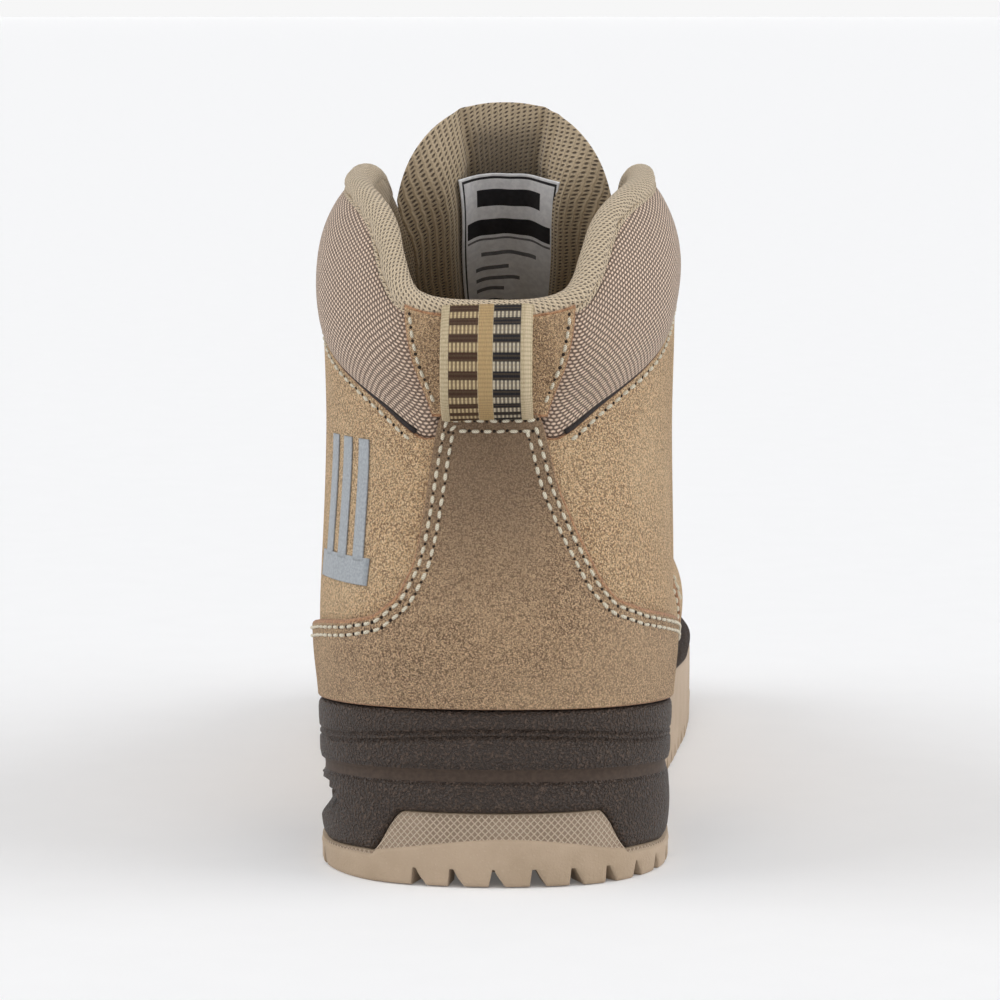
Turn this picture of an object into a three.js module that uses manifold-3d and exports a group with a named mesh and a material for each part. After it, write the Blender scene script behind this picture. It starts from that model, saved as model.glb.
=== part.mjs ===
// A left steel toe work boot in the hiker style: rubber outsole, foamed midsole, suede and mesh
// upper, padded collar and tongue, laces held by webbing loops and steel hooks, and inside them the
// steel toe cap, steel shank, heel stiffener, insole board and removable footbed.
// Millimetres, +Z up, toe towards +Y, inner (medial) side towards +X, standing on Z = 0.
import * as THREE from 'three';
import { mergeVertices } from 'three/addons/utils/BufferGeometryUtils.js';
import Module from 'manifold-3d';

const wasm = await Module();
wasm.setup();

// ---------------------------------------------------------------- driving dimensions
const GAP = 0.3; // between pieces that touch
const LEATHER = 1.6; // thickness of a suede panel
const OVERLAY = LEATHER + GAP; // how far a panel stands over the one beneath it
const MESH_THICK = 1.2;
const LINING_DEPTH = 8.6; // the lining's inner face under the suede's outer face
const LINING_THICK = 1.5;
const COLLAR_ROLL = { depth: 2.6, thick: 5.2, high: 5.6 }; // the padded roll along the collar's edge
const TREAD = 4.3; // depth of the outsole's lugs
const LUG_BAND = 9; // width of the row of lugs round the edge
const LUG_PITCH = 10.1;
const RIM = 3.4; // thickness of the outsole's raised wall
const FLOOR = 8; // height of the outsole's floor over its lowest line
const FEATHER_DROP = 11; // the midsole's seat for the insole, under its top edge
const LACE_RADIUS = 1.8;
const HOLD = { outer: 3.9, inner: 2.9 }; // radii of a loop or hook round the lace
const AROUND = 54; // samples round the sole

// ---------------------------------------------------------------- curves
// Catmull-Rom value at x, counted in steps of the evenly spaced values that get(i) gives.
function catmull(get, x) {
  const i = Math.floor(x);
  const f = x - i;
  const [a, b, c, d] = [get(i - 1), get(i), get(i + 1), get(i + 2)];
  return b + 0.5 * f * (c - a + f * (2 * a - 5 * b + 4 * c - d + f * (3 * (b - c) + d - a)));
}
const clamp = (x, low = 0, high = 1) => Math.min(high, Math.max(low, x));
const lerp = (a, b, f) => a + (b - a) * f;
function smooth(low, high, x) {
  const f = clamp((x - low) / (high - low));
  return f * f * (3 - 2 * f);
}
// A smooth line through values at even steps over u = 0 to 1.
function through(...values) {
  const last = values.length - 1;
  return (u) => catmull((i) => values[clamp(i, 0, last)], clamp(u) * last);
}
// Straight lines through [x, value] pairs.
function steps(...pairs) {
  return (x) => {
    let k = 0;
    while (k < pairs.length - 2 && x > pairs[k + 1][0]) k += 1;
    const [[x0, v0], [x1, v1]] = [pairs[k], pairs[k + 1]];
    return lerp(v0, v1, clamp((x - x0) / (x1 - x0)));
  };
}

// ---------------------------------------------------------------- the last
// Eleven stations run from the back of the heel (0) along one side to the tip of the toe (10).
// Going round the boot, a place is a number s: 0 at the back, positive on the inner side, negative
// on the outer side, and 10 at the toe. Each station is [half width, y, z].
const STATIONS = 10;
const UPPER_RINGS = [
  // where the upper meets the sole
  [[0, -147.6, 44], [26.5, -140.6, 44], [40.6, -119.5, 43.6], [42.4, -88, 41.5], [39.4, -50, 36.5],
    [42, -8, 30], [47.2, 32, 25.6], [49.6, 66, 24.2], [46, 104, 27], [29.5, 136, 31], [0, 147, 33]],
  // the widest line
  [[0, -150, 63], [27.5, -143, 63], [41.8, -121, 63], [44.1, -88, 62], [43.6, -50, 58],
    [44, -9, 50], [47.6, 31, 44], [49.6, 66, 41], [46.2, 104, 45], [29.8, 136.5, 50], [0, 148.5, 52]],
  // the ankle, the instep and the top of the toe
  [[0, -141.5, 107], [23.5, -135.5, 107], [38.6, -116, 107], [43.6, -87, 106], [41.6, -50, 98],
    [37.5, -12, 83], [36.5, 24, 71], [36.5, 60, 65], [33.5, 96, 67], [20.5, 124.5, 69], [0, 134, 70]],
  // the padded collar, the sides of the instep and the vamp
  [[0, -142, 127], [24.5, -136.5, 129], [39, -116, 137], [43.6, -86, 145], [42, -51, 138],
    [36, -18, 118], [33, 16, 99], [29, 48, 84.5], [19.5, 74, 80], [9.5, 92, 79], [0, 98, 79]],
  // the collar's edge and the throat
  [[0, -143, 144.5], [20.5, -137.5, 147.5], [28.4, -117, 163], [36.9, -88, 170], [35.6, -52, 170],
    [26.5, -21, 147], [21.5, 12, 119.5], [18, 43, 97.5], [11, 56, 90], [5.2, 60.5, 88], [0, 61.5, 87.6]],
];
const SOLE_EDGE = [[0, -150], [28, -143.2], [43.4, -121], [44.2, -88], [41.2, -50], [43.8, -8],
  [49.8, 32], [52.6, 66], [49.4, 106], [32.5, 139], [0, 151]];

// The station's row in a table, with the outer side and the way past the toe mirrored.
function station(table, i) {
  const k = ((i % (2 * STATIONS)) + 2 * STATIONS) % (2 * STATIONS);
  if (k <= STATIONS) return table[k];
  const [width, ...rest] = table[2 * STATIONS - k];
  return [-width, ...rest];
}
const along = (table, s, axis) => catmull((i) => station(table, i)[axis], s);
// The place's distance from the back of the heel, the same on both sides.
const fromBack = (s) => Math.abs(((s + 30) % 20) - 10);

// A point of the suede's outer face: s round the boot, t from the sole (0) to the upper edge (1).
function upperPoint(s, t) {
  const last = UPPER_RINGS.length - 1;
  const axis = (k) =>
    catmull((i) => {
      if (i < 0) return 2 * along(UPPER_RINGS[0], s, k) - along(UPPER_RINGS[1], s, k);
      if (i > last) return 2 * along(UPPER_RINGS[last], s, k) - along(UPPER_RINGS[last - 1], s, k);
      return along(UPPER_RINGS[i], s, k);
    }, t * last);
  return new THREE.Vector3(axis(0), axis(1), axis(2));
}

// The point with the outward normal and the directions round the boot and up it.
function upperFrame(s, t) {
  const e = 0.02;
  const round = upperPoint(s + e, t).sub(upperPoint(s - e, t)).normalize();
  const up = upperPoint(s, t + e / 4).sub(upperPoint(s, t - e / 4)).normalize();
  const normal = round.clone().cross(up).normalize();
  return { point: upperPoint(s, t), normal, round, up };
}
function upperOffset(s, t, d) {
  const { point, normal } = upperFrame(s, t);
  return point.addScaledVector(normal, d);
}
// The t that lies a distance under the upper edge.
function tBelow(s, distance) {
  const last = upperPoint(s, 1).distanceTo(upperPoint(s, 0.75));
  return 1 - (0.25 * distance) / last;
}

// The sole's edge in plan, moved inwards by inset.
function solePoint(s, inset) {
  const e = 0.02;
  const [x, y] = [along(SOLE_EDGE, s, 0), along(SOLE_EDGE, s, 1)];
  const tx = along(SOLE_EDGE, s + e, 0) - along(SOLE_EDGE, s - e, 0);
  const ty = along(SOLE_EDGE, s + e, 1) - along(SOLE_EDGE, s - e, 1);
  const length = Math.hypot(tx, ty);
  return [x - (inset * ty) / length, y + (inset * tx) / length];
}

// The underside: a bevel at the back of the heel, a raised waist and the toe spring.
function soleBottom(y) {
  const bevel = 0.3 * (1 - smooth(-150, -138, y));
  const waist = 3.2 * smooth(-68, -40, y) * (1 - smooth(-30, 4, y));
  const toe = 11 * Math.max(0, (y - 72) / 79) ** 1.8;
  return bevel + waist + toe;
}
// The midsole's top edge, just under the upper.
const soleTop = (s) => along(UPPER_RINGS[0], s, 2) - 1.5 * GAP;

// The top of the outsole's wall: a tab up the back of the heel, low at its sides, and the full
// height of the sole from the waist forwards.
const TAB_CENTRE = 0.13;
function wallTop(s) {
  const away = fromBack(s - TAB_CENTRE);
  const tab = lerp(18.2, 8.6, smooth(0.86, 1.26, away));
  const heel = away < 1.3 ? tab : lerp(8.6, 10.2, smooth(1.3, 2.1, away));
  return lerp(heel, soleTop(s), smooth(3.3, 5, away));
}

// The last's bend: its centre line swings to the inner side at the toe, and its ball is skewed.
// CENTRE then brings the middle of the boot's box over the origin.
const CENTRE = new THREE.Vector3(3.52, 0.66, 0);
const lastBend = through(0, 0, 0, -2.2, -4.3, -1.5, 5);
function bent(p) {
  const skew = 0.1 * smooth(-50, 40, p.y) * (1 - 0.7 * smooth(90, 150, p.y));
  return new THREE.Vector3(p.x + lastBend((p.y + 150) / 300), p.y + skew * p.x, p.z).add(CENTRE);
}

// ---------------------------------------------------------------- solids
const number = (value, u, v) => (typeof value === 'function' ? value(u, v) : value);

function geometryOf(points, triangles) {
  const geometry = new THREE.BufferGeometry();
  geometry.setAttribute('position', new THREE.Float32BufferAttribute(points.flatMap((p) => p.toArray()), 3));
  geometry.setIndex(triangles.flat());
  return geometry;
}

// A closed sheet between outer(u, v) and inner(u, v); with round set it closes on itself along u.
function sheet({ nu, nv, outer, inner, round = false }) {
  const points = [];
  const triangles = [];
  const columns = round ? nu : nu + 1;
  [outer, inner].forEach((side) => {
    for (let j = 0; j <= nv; j += 1) {
      for (let i = 0; i < columns; i += 1) points.push(side(i / nu, j / nv));
    }
  });
  const at = (side, i, j) => side * columns * (nv + 1) + j * columns + (i % columns);
  const quad = (a, b, c, d) => triangles.push([a, b, c], [a, c, d]);
  for (let j = 0; j < nv; j += 1) {
    for (let i = 0; i < nu; i += 1) {
      quad(at(0, i, j), at(0, i + 1, j), at(0, i + 1, j + 1), at(0, i, j + 1));
      quad(at(1, i, j), at(1, i, j + 1), at(1, i + 1, j + 1), at(1, i + 1, j));
    }
  }
  for (let i = 0; i < nu; i += 1) {
    quad(at(0, i, 0), at(1, i, 0), at(1, i + 1, 0), at(0, i + 1, 0));
    quad(at(0, i, nv), at(0, i + 1, nv), at(1, i + 1, nv), at(1, i, nv));
  }
  for (let j = 0; j < nv && !round; j += 1) {
    quad(at(0, 0, j), at(0, 0, j + 1), at(1, 0, j + 1), at(1, 0, j));
    quad(at(0, nu, j), at(1, nu, j), at(1, nu, j + 1), at(0, nu, j + 1));
  }
  return geometryOf(points, triangles);
}

// Places round the boot for a piece's columns: close together round the heel and the toe, and at the
// same places for every layer, so that the layers nest. An outline's corners are added to them.
function columnsOf(from, to, corners = []) {
  const lattice = Array.from({ length: 91 }, (none, k) => (k - 30) / 3).filter((s) => {
    const away = fromBack(s);
    const kept = away < 2.5 || away > 6.9 || Math.round(3 * s) % 2 === 0;
    return kept && corners.every((corner) => Math.abs(corner - s) > 0.1);
  });
  return [from, ...[...lattice, ...corners].sort((a, b) => a - b).filter((s) => s > from + 0.06 && s < to - 0.06), to];
}

// A piece of the upper: from one place to another round the boot, between the lower and upper lines
// given as t at each place, and between two depths from the suede's outer face.
function panel({ from, to, lower, upper, inner, outer, rows, round, corners }) {
  const places = columnsOf(from, to, corners);
  const nu = places.length - 1;
  const side = (depth) => (u, v) => {
    const s = places[Math.round(u * nu)];
    const t = lerp(number(lower, s), number(upper, s), v);
    return upperOffset(s, t, number(depth, (s - from) / (to - from), v));
  };
  return sheet({ nu, nv: rows, outer: side(outer), inner: side(inner), round });
}

// A closed bar of rings: stepCount + 1 rings of the given number of sides, ring(u, k) each corner.
function barOf(stepCount, sides, ring) {
  const points = [];
  const triangles = [];
  for (let i = 0; i <= stepCount; i += 1) {
    for (let k = 0; k < sides; k += 1) points.push(ring(i / stepCount, k));
  }
  const at = (i, k) => i * sides + (k % sides);
  for (let i = 0; i < stepCount; i += 1) {
    for (let k = 0; k < sides; k += 1) {
      triangles.push([at(i, k), at(i + 1, k), at(i + 1, k + 1)], [at(i, k), at(i + 1, k + 1), at(i, k + 1)]);
    }
  }
  for (let k = 1; k < sides - 1; k += 1) {
    triangles.push([at(0, 0), at(0, k), at(0, k + 1)]);
    triangles.push([at(stepCount, 0), at(stepCount, k + 1), at(stepCount, k)]);
  }
  return geometryOf(points, triangles);
}

// A solid of loops round the sole, from a closed underside to a closed top. Each loop gives a point
// for s; points at s and -s share their y, so the caps are ladders across the sole.
function soleSolid(loops, first = 0) {
  const points = [];
  const triangles = [];
  loops.forEach((loop) => {
    for (let k = 0; k < AROUND; k += 1) points.push(loop((2 * STATIONS * k) / AROUND + first));
  });
  const at = (j, k) => j * AROUND + (k % AROUND);
  for (let j = 0; j < loops.length - 1; j += 1) {
    for (let k = 0; k < AROUND; k += 1) {
      triangles.push([at(j, k), at(j, k + 1), at(j + 1, k + 1)], [at(j, k), at(j + 1, k + 1), at(j + 1, k)]);
    }
  }
  const half = AROUND / 2;
  for (let k = 0; k < half; k += 1) {
    const rung = [k, k + 1, (AROUND - k - 1) % AROUND, (AROUND - k) % AROUND];
    const rungs = k === 0 ? [[0, 1, 2]] : k === half - 1 ? [[0, 1, 3]] : [[0, 1, 2], [0, 2, 3]];
    rungs.forEach(([a, b, c]) => {
      const top = (n) => at(loops.length - 1, rung[n]);
      triangles.push([top(a), top(b), top(c)], [at(0, rung[c]), at(0, rung[b]), at(0, rung[a])]);
    });
  }
  return geometryOf(points, triangles);
}
// One such loop: inset from the sole's edge, at the height that height(s, y) gives.
const soleLoop = (inset, height) => (s) => {
  const [x, y] = solePoint(s, number(inset, s));
  return new THREE.Vector3(x, y, height(s, y));
};

function solidOf(geometry) {
  const bare = geometry.clone();
  bare.deleteAttribute('normal');
  bare.deleteAttribute('uv');
  const merged = mergeVertices(bare, 1e-4);
  return new wasm.Manifold(
    new wasm.Mesh({
      numProp: 3,
      vertProperties: new Float32Array(merged.attributes.position.array),
      triVerts: new Uint32Array(merged.index.array),
    }),
  );
}
function geometryFrom(solid) {
  const { vertProperties, triVerts } = solid.getMesh();
  const geometry = new THREE.BufferGeometry();
  geometry.setAttribute('position', new THREE.BufferAttribute(vertProperties, 3));
  geometry.setIndex(new THREE.BufferAttribute(triVerts, 1));
  return geometry;
}
const joined = (...geometries) =>
  geometryFrom(geometries.map(solidOf).reduce((whole, piece) => whole.add(piece)));
const cut = (geometry, ...tools) =>
  geometryFrom(tools.map(solidOf).reduce((whole, tool) => whole.subtract(tool), solidOf(geometry)));

// A flat outline in the X-Y plane, pulled between two heights that may vary along y.
function block(outline, low, high) {
  const shape = new THREE.Shape(outline.map(([x, y]) => new THREE.Vector2(x, y)));
  const geometry = new THREE.ExtrudeGeometry(shape, { depth: 1, bevelEnabled: false, steps: 1 });
  const position = geometry.attributes.position;
  for (let i = 0; i < position.count; i += 1) {
    const ends = [number(low, position.getY(i)), number(high, position.getY(i))];
    position.setZ(i, position.getZ(i) < 0.5 ? ends[0] : ends[1]);
  }
  return geometry;
}

// A round cord through points, with perSpan rings for every span and closed ends.
function cord(points, radius, perSpan, sides) {
  const path = new THREE.CatmullRomCurve3(points, false, 'centripetal');
  const count = (points.length - 1) * perSpan;
  const across = new THREE.Vector3(1, 0.2, 0.1);
  const frames = Array.from({ length: count + 1 }, (none, i) => {
    const ahead = path.getTangent(i / count);
    across.addScaledVector(ahead, -across.dot(ahead)).normalize();
    return { centre: path.getPoint(i / count), across: across.clone(), over: ahead.clone().cross(across) };
  });
  return barOf(count, sides, (u, k) => {
    const { centre, across: x, over: y } = frames[Math.round(u * count)];
    const angle = (2 * Math.PI * k) / sides;
    return centre.clone().addScaledVector(x, -radius * Math.cos(angle)).addScaledVector(y, radius * Math.sin(angle));
  });
}

// ---------------------------------------------------------------- materials
const material = (color, roughness, metalness = 0) =>
  new THREE.MeshStandardMaterial({ color, roughness, metalness });
const MATERIALS = {
  suede: material(0xa9865f, 0.95),
  counterSuede: material(0x957a60, 0.95),
  mesh: material(0xb39c89, 0.9),
  knit: material(0xa7977a, 0.95),
  foam: material(0x4b463f, 0.95),
  midsole: material(0x4a3f38, 0.7),
  rubber: material(0xa58e76, 0.75),
  webbing: material(0xb8a070, 0.85),
  label: material(0xb9b5b0, 0.6),
  lace: material(0x8d7558, 0.9),
  steel: material(0x9a9a98, 0.35, 1),
  darkSteel: material(0x4a4642, 0.4, 1),
  board: material(0xb79f77, 0.95),
  plastic: material(0x2c2a28, 0.6),
};

const boot = new THREE.Group();
// Adds a piece under its name, bent to the last's shape.
function add(name, geometry, finish) {
  const flat = geometry.index ? geometry : mergeVertices(geometry);
  const position = flat.attributes.position;
  for (let i = 0; i < position.count; i += 1) {
    const p = bent(new THREE.Vector3().fromBufferAttribute(position, i));
    position.setXYZ(i, p.x, p.y, p.z);
  }
  flat.deleteAttribute('uv');
  flat.computeVertexNormals();
  const mesh = new THREE.Mesh(flat, MATERIALS[finish]);
  mesh.name = name;
  boot.add(mesh);
}
const SIDES = [['lateral', -1], ['medial', 1]];

// ---------------------------------------------------------------- outsole
// A notch between two edge lugs: upright on one face and sloping on the other.
function lugNotch(s) {
  const [x, y] = solePoint(s, 0);
  const [ix, iy] = solePoint(s, 1);
  const inwards = new THREE.Vector2(ix - x, iy - y);
  const sideways = new THREE.Vector2(-inwards.y, inwards.x);
  const corner = (deep, aside) => [
    x + inwards.x * deep + sideways.x * aside,
    y + inwards.y * deep + sideways.y * aside,
  ];
  const [deepest, outside] = [LUG_BAND + 1, -3];
  const floorLine = soleBottom(y);
  const foot = [corner(outside, -1.2), corner(deepest, -1.2), corner(deepest, 2.6), corner(outside, 2.6)];
  const head = [corner(outside, -1.2), corner(deepest, -1.2), corner(deepest, 0.4), corner(outside, 0.4)];
  const points = [
    ...foot.map(([a, b]) => new THREE.Vector3(a, b, floorLine - 2)),
    ...head.map(([a, b]) => new THREE.Vector3(a, b, floorLine + TREAD)),
  ];
  const walls = [0, 1, 2, 3].flatMap((k) => {
    const n = (k + 1) % 4;
    return [[k, n, n + 4], [k, n + 4, k + 4]];
  });
  const faces = [...walls, [4, 5, 6], [4, 6, 7], [0, 2, 1], [0, 3, 2]];
  return geometryOf(points, faces);
}

// A V-shaped lug across the sole, its point towards the toe or, with rise below 0, the heel.
const chevron = (y, halfWidth, rise) =>
  block(
    [[-halfWidth, y], [0, y + rise], [halfWidth, y], [halfWidth, y + 8], [0, y + rise + 8], [-halfWidth, y + 8]],
    (at) => soleBottom(at),
    (at) => soleBottom(at) + TREAD + 1,
  );

// The outsole's shell, or with grow above 0 the space that it and its clearance take.
function shell(grow) {
  const wall = (s, y) => Math.max(wallTop(s), soleBottom(y) + FLOOR + 0.6) + grow;
  return soleSolid([
    soleLoop(LUG_BAND, (s, y) => soleBottom(y) + TREAD),
    soleLoop(LUG_BAND - 0.4, (s, y) => soleBottom(y)),
    soleLoop(1.4 - grow, (s, y) => soleBottom(y)),
    soleLoop(0.2 - grow, (s, y) => soleBottom(y) + 4.5),
    soleLoop(-grow, wall),
    soleLoop(RIM + grow, wall),
    soleLoop(RIM + grow + 0.4, (s, y) => soleBottom(y) + FLOOR + grow),
  ]);
}

function outsole() {
  // Spaced by arc length, leaving out the smooth strike pad on the outer corner of the heel.
  const notches = [];
  let travelled = 0;
  let before = solePoint(0.4, 0);
  for (let s = 0.4; s < 2 * STATIONS - 1.95; s += 0.02) {
    const here = solePoint(s, 0);
    travelled += Math.hypot(here[0] - before[0], here[1] - before[1]);
    before = here;
    if (travelled >= LUG_PITCH) {
      travelled -= LUG_PITCH;
      notches.push(lugNotch(s));
    }
  }
  notches.push(lugNotch(0.4), lugNotch(0.05), lugNotch(-0.3), lugNotch(-0.62));
  const forefoot = [96, 76, 56, 36, 16].map((y) => chevron(y, 33 - Math.max(0, y - 76) * 0.35, 9));
  const heel = [-122, -104, -86].map((y) => chevron(y, 25, -7));
  return joined(cut(shell(0), ...notches), ...forefoot, ...heel);
}
add('outsole', outsole(), 'rubber');

// ---------------------------------------------------------------- midsole
// The side wall stands in and out of the sole's edge: a lip, a fine groove, a band, a smooth
// hollow line, and the bulged lower wall. Forwards it slips inside the outsole's wall.
function midsole() {
  const rise = (share) => (s) => lerp(Math.max(wallTop(s), FLOOR + 1), soleTop(s), share);
  const body = soleSolid([
    soleLoop(1.5, (s, y) => soleBottom(y) + FLOOR - 1),
    soleLoop(0.5, rise(0.05)),
    soleLoop(0, rise(0.25)),
    soleLoop(1.4, rise(0.5)),
    soleLoop(0.2, rise(0.64)),
    soleLoop(0.5, rise(0.8)),
    soleLoop(0.1, rise(0.86)),
    soleLoop(0.9, rise(1)),
    soleLoop(8.6, rise(1)),
    soleLoop(9, (s) => soleTop(s) - FEATHER_DROP),
  ]);
  // Shock-absorbing hollows scooped out of both flanks of the heel.
  const scoop = (x, y, z) => {
    const geometry = new THREE.SphereGeometry(1, 12, 8);
    geometry.scale(5.5, 20, 6.4).translate(x, y, z);
    return geometry;
  };
  return cut(body, shell(GAP), scoop(-46.4, -98, 22), scoop(44.4, -58, 20));
}
add('midsole', midsole(), 'midsole');

// ---------------------------------------------------------------- inside the sole
// A flat layer over the midsole's seat, between two heights under the sole's top edge.
const seatLayer = (inset, low, high) =>
  soleSolid([soleLoop(inset, (s) => soleTop(s) - low), soleLoop(inset, (s) => soleTop(s) - high)]);

const BOARD = { low: FEATHER_DROP - 2.4, high: FEATHER_DROP - 4.4 };
add('insole_board', seatLayer(10.2, BOARD.low, BOARD.high), 'board');

// A strip of steel lying along the seat's waist, under the insole board.
function seatHeight(y) {
  let s = 0;
  while (s < STATIONS && along(SOLE_EDGE, s, 1) < y) s += 0.02;
  return soleTop(s) - FEATHER_DROP;
}
function shank() {
  const [back, front] = [-92, 12];
  const halfWidth = (share) => 8 - 1.2 * Math.sin(Math.PI * share);
  const edge = Array.from({ length: 9 }, (none, k) => [halfWidth(k / 8), lerp(back, front, k / 8)]);
  const outline = [...edge, ...edge.map(([x, y]) => [-x, y]).reverse()];
  return block(outline, (y) => seatHeight(y) + 0.8, (y) => seatHeight(y) + 1.9);
}
add('steel_shank', shank(), 'steel');

const FOOTBED = { low: BOARD.high - GAP, thick: 5 };
function footbed() {
  const low = (s) => soleTop(s) - FOOTBED.low;
  const high = (s) => low(s) + FOOTBED.thick;
  const cup = (s) => 3.5 * (1 - smooth(3, 5, fromBack(s)));
  const edge = (s) => 12.6 + 1.2 * smooth(3, 6, fromBack(s));
  return soleSolid([
    soleLoop((s) => edge(s) + 2, low),
    soleLoop((s) => edge(s) + 0.2, (s) => low(s) + 1.5),
    soleLoop(edge, (s) => high(s) + cup(s)),
    soleLoop((s) => edge(s) + 1.4, (s) => high(s) + cup(s)),
    soleLoop((s) => edge(s) + 7, (s) => high(s)),
  ]);
}
add('footbed', footbed(), 'foam');

// ---------------------------------------------------------------- upper: the layers underneath
const DEPTH = {
  mesh: [-OVERLAY - 0.7 - MESH_THICK, -OVERLAY - 0.7],
  stiffener: [-4.8, -2.4],
  cap: [-5.9, -4.5],
  lining: [-LINING_DEPTH, -LINING_DEPTH + LINING_THICK],
};
const COLLAR_END = 4.35; // the station where the collar's roll stops at the top of the throat

// The lining follows the whole upper and stops under the collar's roll.
function liningEdge(s) {
  const under = tBelow(s, 2 * COLLAR_ROLL.high + GAP);
  return lerp(under, 0.97, smooth(COLLAR_END - 0.1, COLLAR_END + 0.5, fromBack(s)));
}
add('lining', panel({
  from: -10, to: 10, lower: 0.02, upper: liningEdge, inner: DEPTH.lining[0], outer: DEPTH.lining[1],
  rows: 7, round: true,
}), 'knit');

// The seam under the collar pad, and the edges of a suede quarter along it, round the counter and
// down the vamp.
const padSeam = steps([0, 0.6], [0.6, 0.6], [1, 0.612], [2, 0.635], [3, 0.675], [3.6, 0.715], [4.35, 0.8]);
const quarterTop = steps([4.3, 0], [4.42, 0.968], [8.1, 0.968]);
const quarterFoot = steps([0.12, 0.52], [0.4, 0.44], [0.6, 0.28], [0.9, 0.22], [2, 0.18], [3, 0.14],
  [4.2, 0.1], [5.1, 0], [6.2, 0], [6.9, 0.3], [7.6, 0.66], [8.1, 0.84]);
const FOOT_CORNERS = [6.9, 7.6, 8.1];
const HEEL_CORNERS = [0.5, 0.56, 0.63, 0.78, 1]; // where the counter's edge turns

// The mesh of the vamp, running a little way under the quarters' front edges.
add('vamp_mesh', panel({
  from: 6.25, to: 13.75, lower: 0, upper: (s) => Math.min(0.968, quarterFoot(fromBack(s)) + 0.09),
  inner: DEPTH.mesh[0], outer: DEPTH.mesh[1], rows: 8, corners: [...FOOT_CORNERS, ...FOOT_CORNERS.map((s) => 20 - s)],
}), 'mesh');

SIDES.forEach(([side, way]) => {
  const [near, far] = [0.12, 8.1];
  add(`quarter_${side}`, panel({
    from: way > 0 ? near : -far, to: way > 0 ? far : -near,
    lower: (s) => quarterFoot(fromBack(s)),
    upper: (s) => Math.max(padSeam(fromBack(s)), quarterTop(fromBack(s))),
    inner: -LEATHER, outer: 0, rows: 8,
    corners: [...HEEL_CORNERS, 4.3, 4.42, 6.9, 7.6].map((s) => way * s),
  }), 'suede');
});

// The suede toe piece, its rear edge running across the vamp, and the steel cap beneath it.
const wing = through(0, 0.36, 0.62, 0.84, 0.9, 0.9, 0.9, 0.84, 0.62, 0.36, 0);
const wingAt = (s, from, to) => wing((s - from) / (to - from));
add('toe_overlay', panel({
  from: 6.9, to: 13.1, lower: 0, upper: (s) => 0.2 + 0.74 * wingAt(s, 6.9, 13.1),
  inner: -LEATHER, outer: 0, rows: 8,
}), 'suede');

const capEdge = (s) => 0.12 + 0.66 * wingAt(s, 7.75, 12.25);
add('steel_toe_cap', panel({
  from: 7.75, to: 12.25, lower: 0.02, upper: capEdge, inner: DEPTH.cap[0], outer: DEPTH.cap[1], rows: 6,
}), 'steel');

// A soft strip along the cap's rear edge.
add('toe_cap_edge_strip', panel({
  from: 8, to: 12, lower: (s) => capEdge(s) + 0.006, upper: (s) => capEdge(s) + 0.07,
  inner: DEPTH.cap[0], outer: DEPTH.cap[1], rows: 1,
}), 'foam');

add('heel_stiffener', panel({
  from: -3.5, to: 3.5, lower: 0.01, upper: (s) => 0.5 - 0.14 * (s / 3.5) ** 2,
  inner: DEPTH.stiffener[0], outer: DEPTH.stiffener[1], rows: 5,
}), 'plastic');

// ---------------------------------------------------------------- upper: the panels on top
// The heel counter: straight across the back, steeply down beside it, then flared along both sides.
const counterSide = {
  lateral: steps([0, 0.575], [0.5, 0.575], [0.56, 0.43], [0.63, 0.345], [0.78, 0.3], [1, 0.27], [1.35, 0.256],
    [1.9, 0.242], [3, 0.2], [4.2, 0.15], [5.1, 0.02]),
  medial: steps([0, 0.575], [0.5, 0.575], [0.56, 0.49], [0.63, 0.44], [0.78, 0.39], [1, 0.32], [1.15, 0.295],
    [1.5, 0.274], [2.2, 0.245], [3, 0.205], [4.2, 0.155], [5.1, 0.02]),
};
const counterTop = (s) => (s < 0 ? counterSide.lateral(-s) : counterSide.medial(s));
add('heel_counter', panel({
  from: -5.1, to: 5.1, lower: 0, upper: counterTop, inner: 0.5, outer: OVERLAY + 0.1, rows: 8,
  corners: [-1, 1].flatMap((way) => HEEL_CORNERS.map((s) => way * s)),
}), 'counterSuede');

// The strip up the back between the collar pads.
const stripTop = tBelow(0, 11.6);
add('backstay', panel({
  from: -0.8, to: 0.8, lower: (s) => lerp(0.587, stripTop - 0.02, smooth(0.5, 0.82, fromBack(s))),
  upper: stripTop, inner: GAP, outer: OVERLAY - 0.1, rows: 3,
}), 'suede');

// Padded collar panels, swollen between their seams.
SIDES.forEach(([side, way]) => {
  const [near, far] = [0.66, 4.28];
  const swell = (u, v) => 3.4 * Math.sqrt(Math.sin(Math.PI * clamp(u, 0.02, 0.98)) * Math.sin(Math.PI * v));
  add(`collar_pad_${side}`, panel({
    from: way > 0 ? near : -far, to: way > 0 ? far : -near,
    lower: (s) => padSeam(fromBack(s)) + 0.014,
    upper: (s) => lerp(padSeam(0) + 0.03, liningEdge(s) - 0.004, smooth(0.6, 0.9, fromBack(s))),
    inner: -LINING_DEPTH + LINING_THICK + 0.6, outer: (u, v) => swell(u, v) - 1.2, rows: 5,
  }), 'mesh');
});

// The roll of knit lining over the collar's edge.
function collarRoll() {
  const sides = 10;
  const stepCount = 34;
  const ring = (u, k) => {
    const angle = (2 * Math.PI * k) / sides;
    const { point, normal, up } = upperFrame(lerp(-COLLAR_END, COLLAR_END, u), 1);
    return point
      .addScaledVector(up, COLLAR_ROLL.high * (Math.sin(angle) - 1))
      .addScaledVector(normal, COLLAR_ROLL.thick * Math.cos(angle) - COLLAR_ROLL.depth);
  };
  return barOf(stepCount, sides, ring);
}
add('collar_roll', collarRoll(), 'knit');

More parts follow.
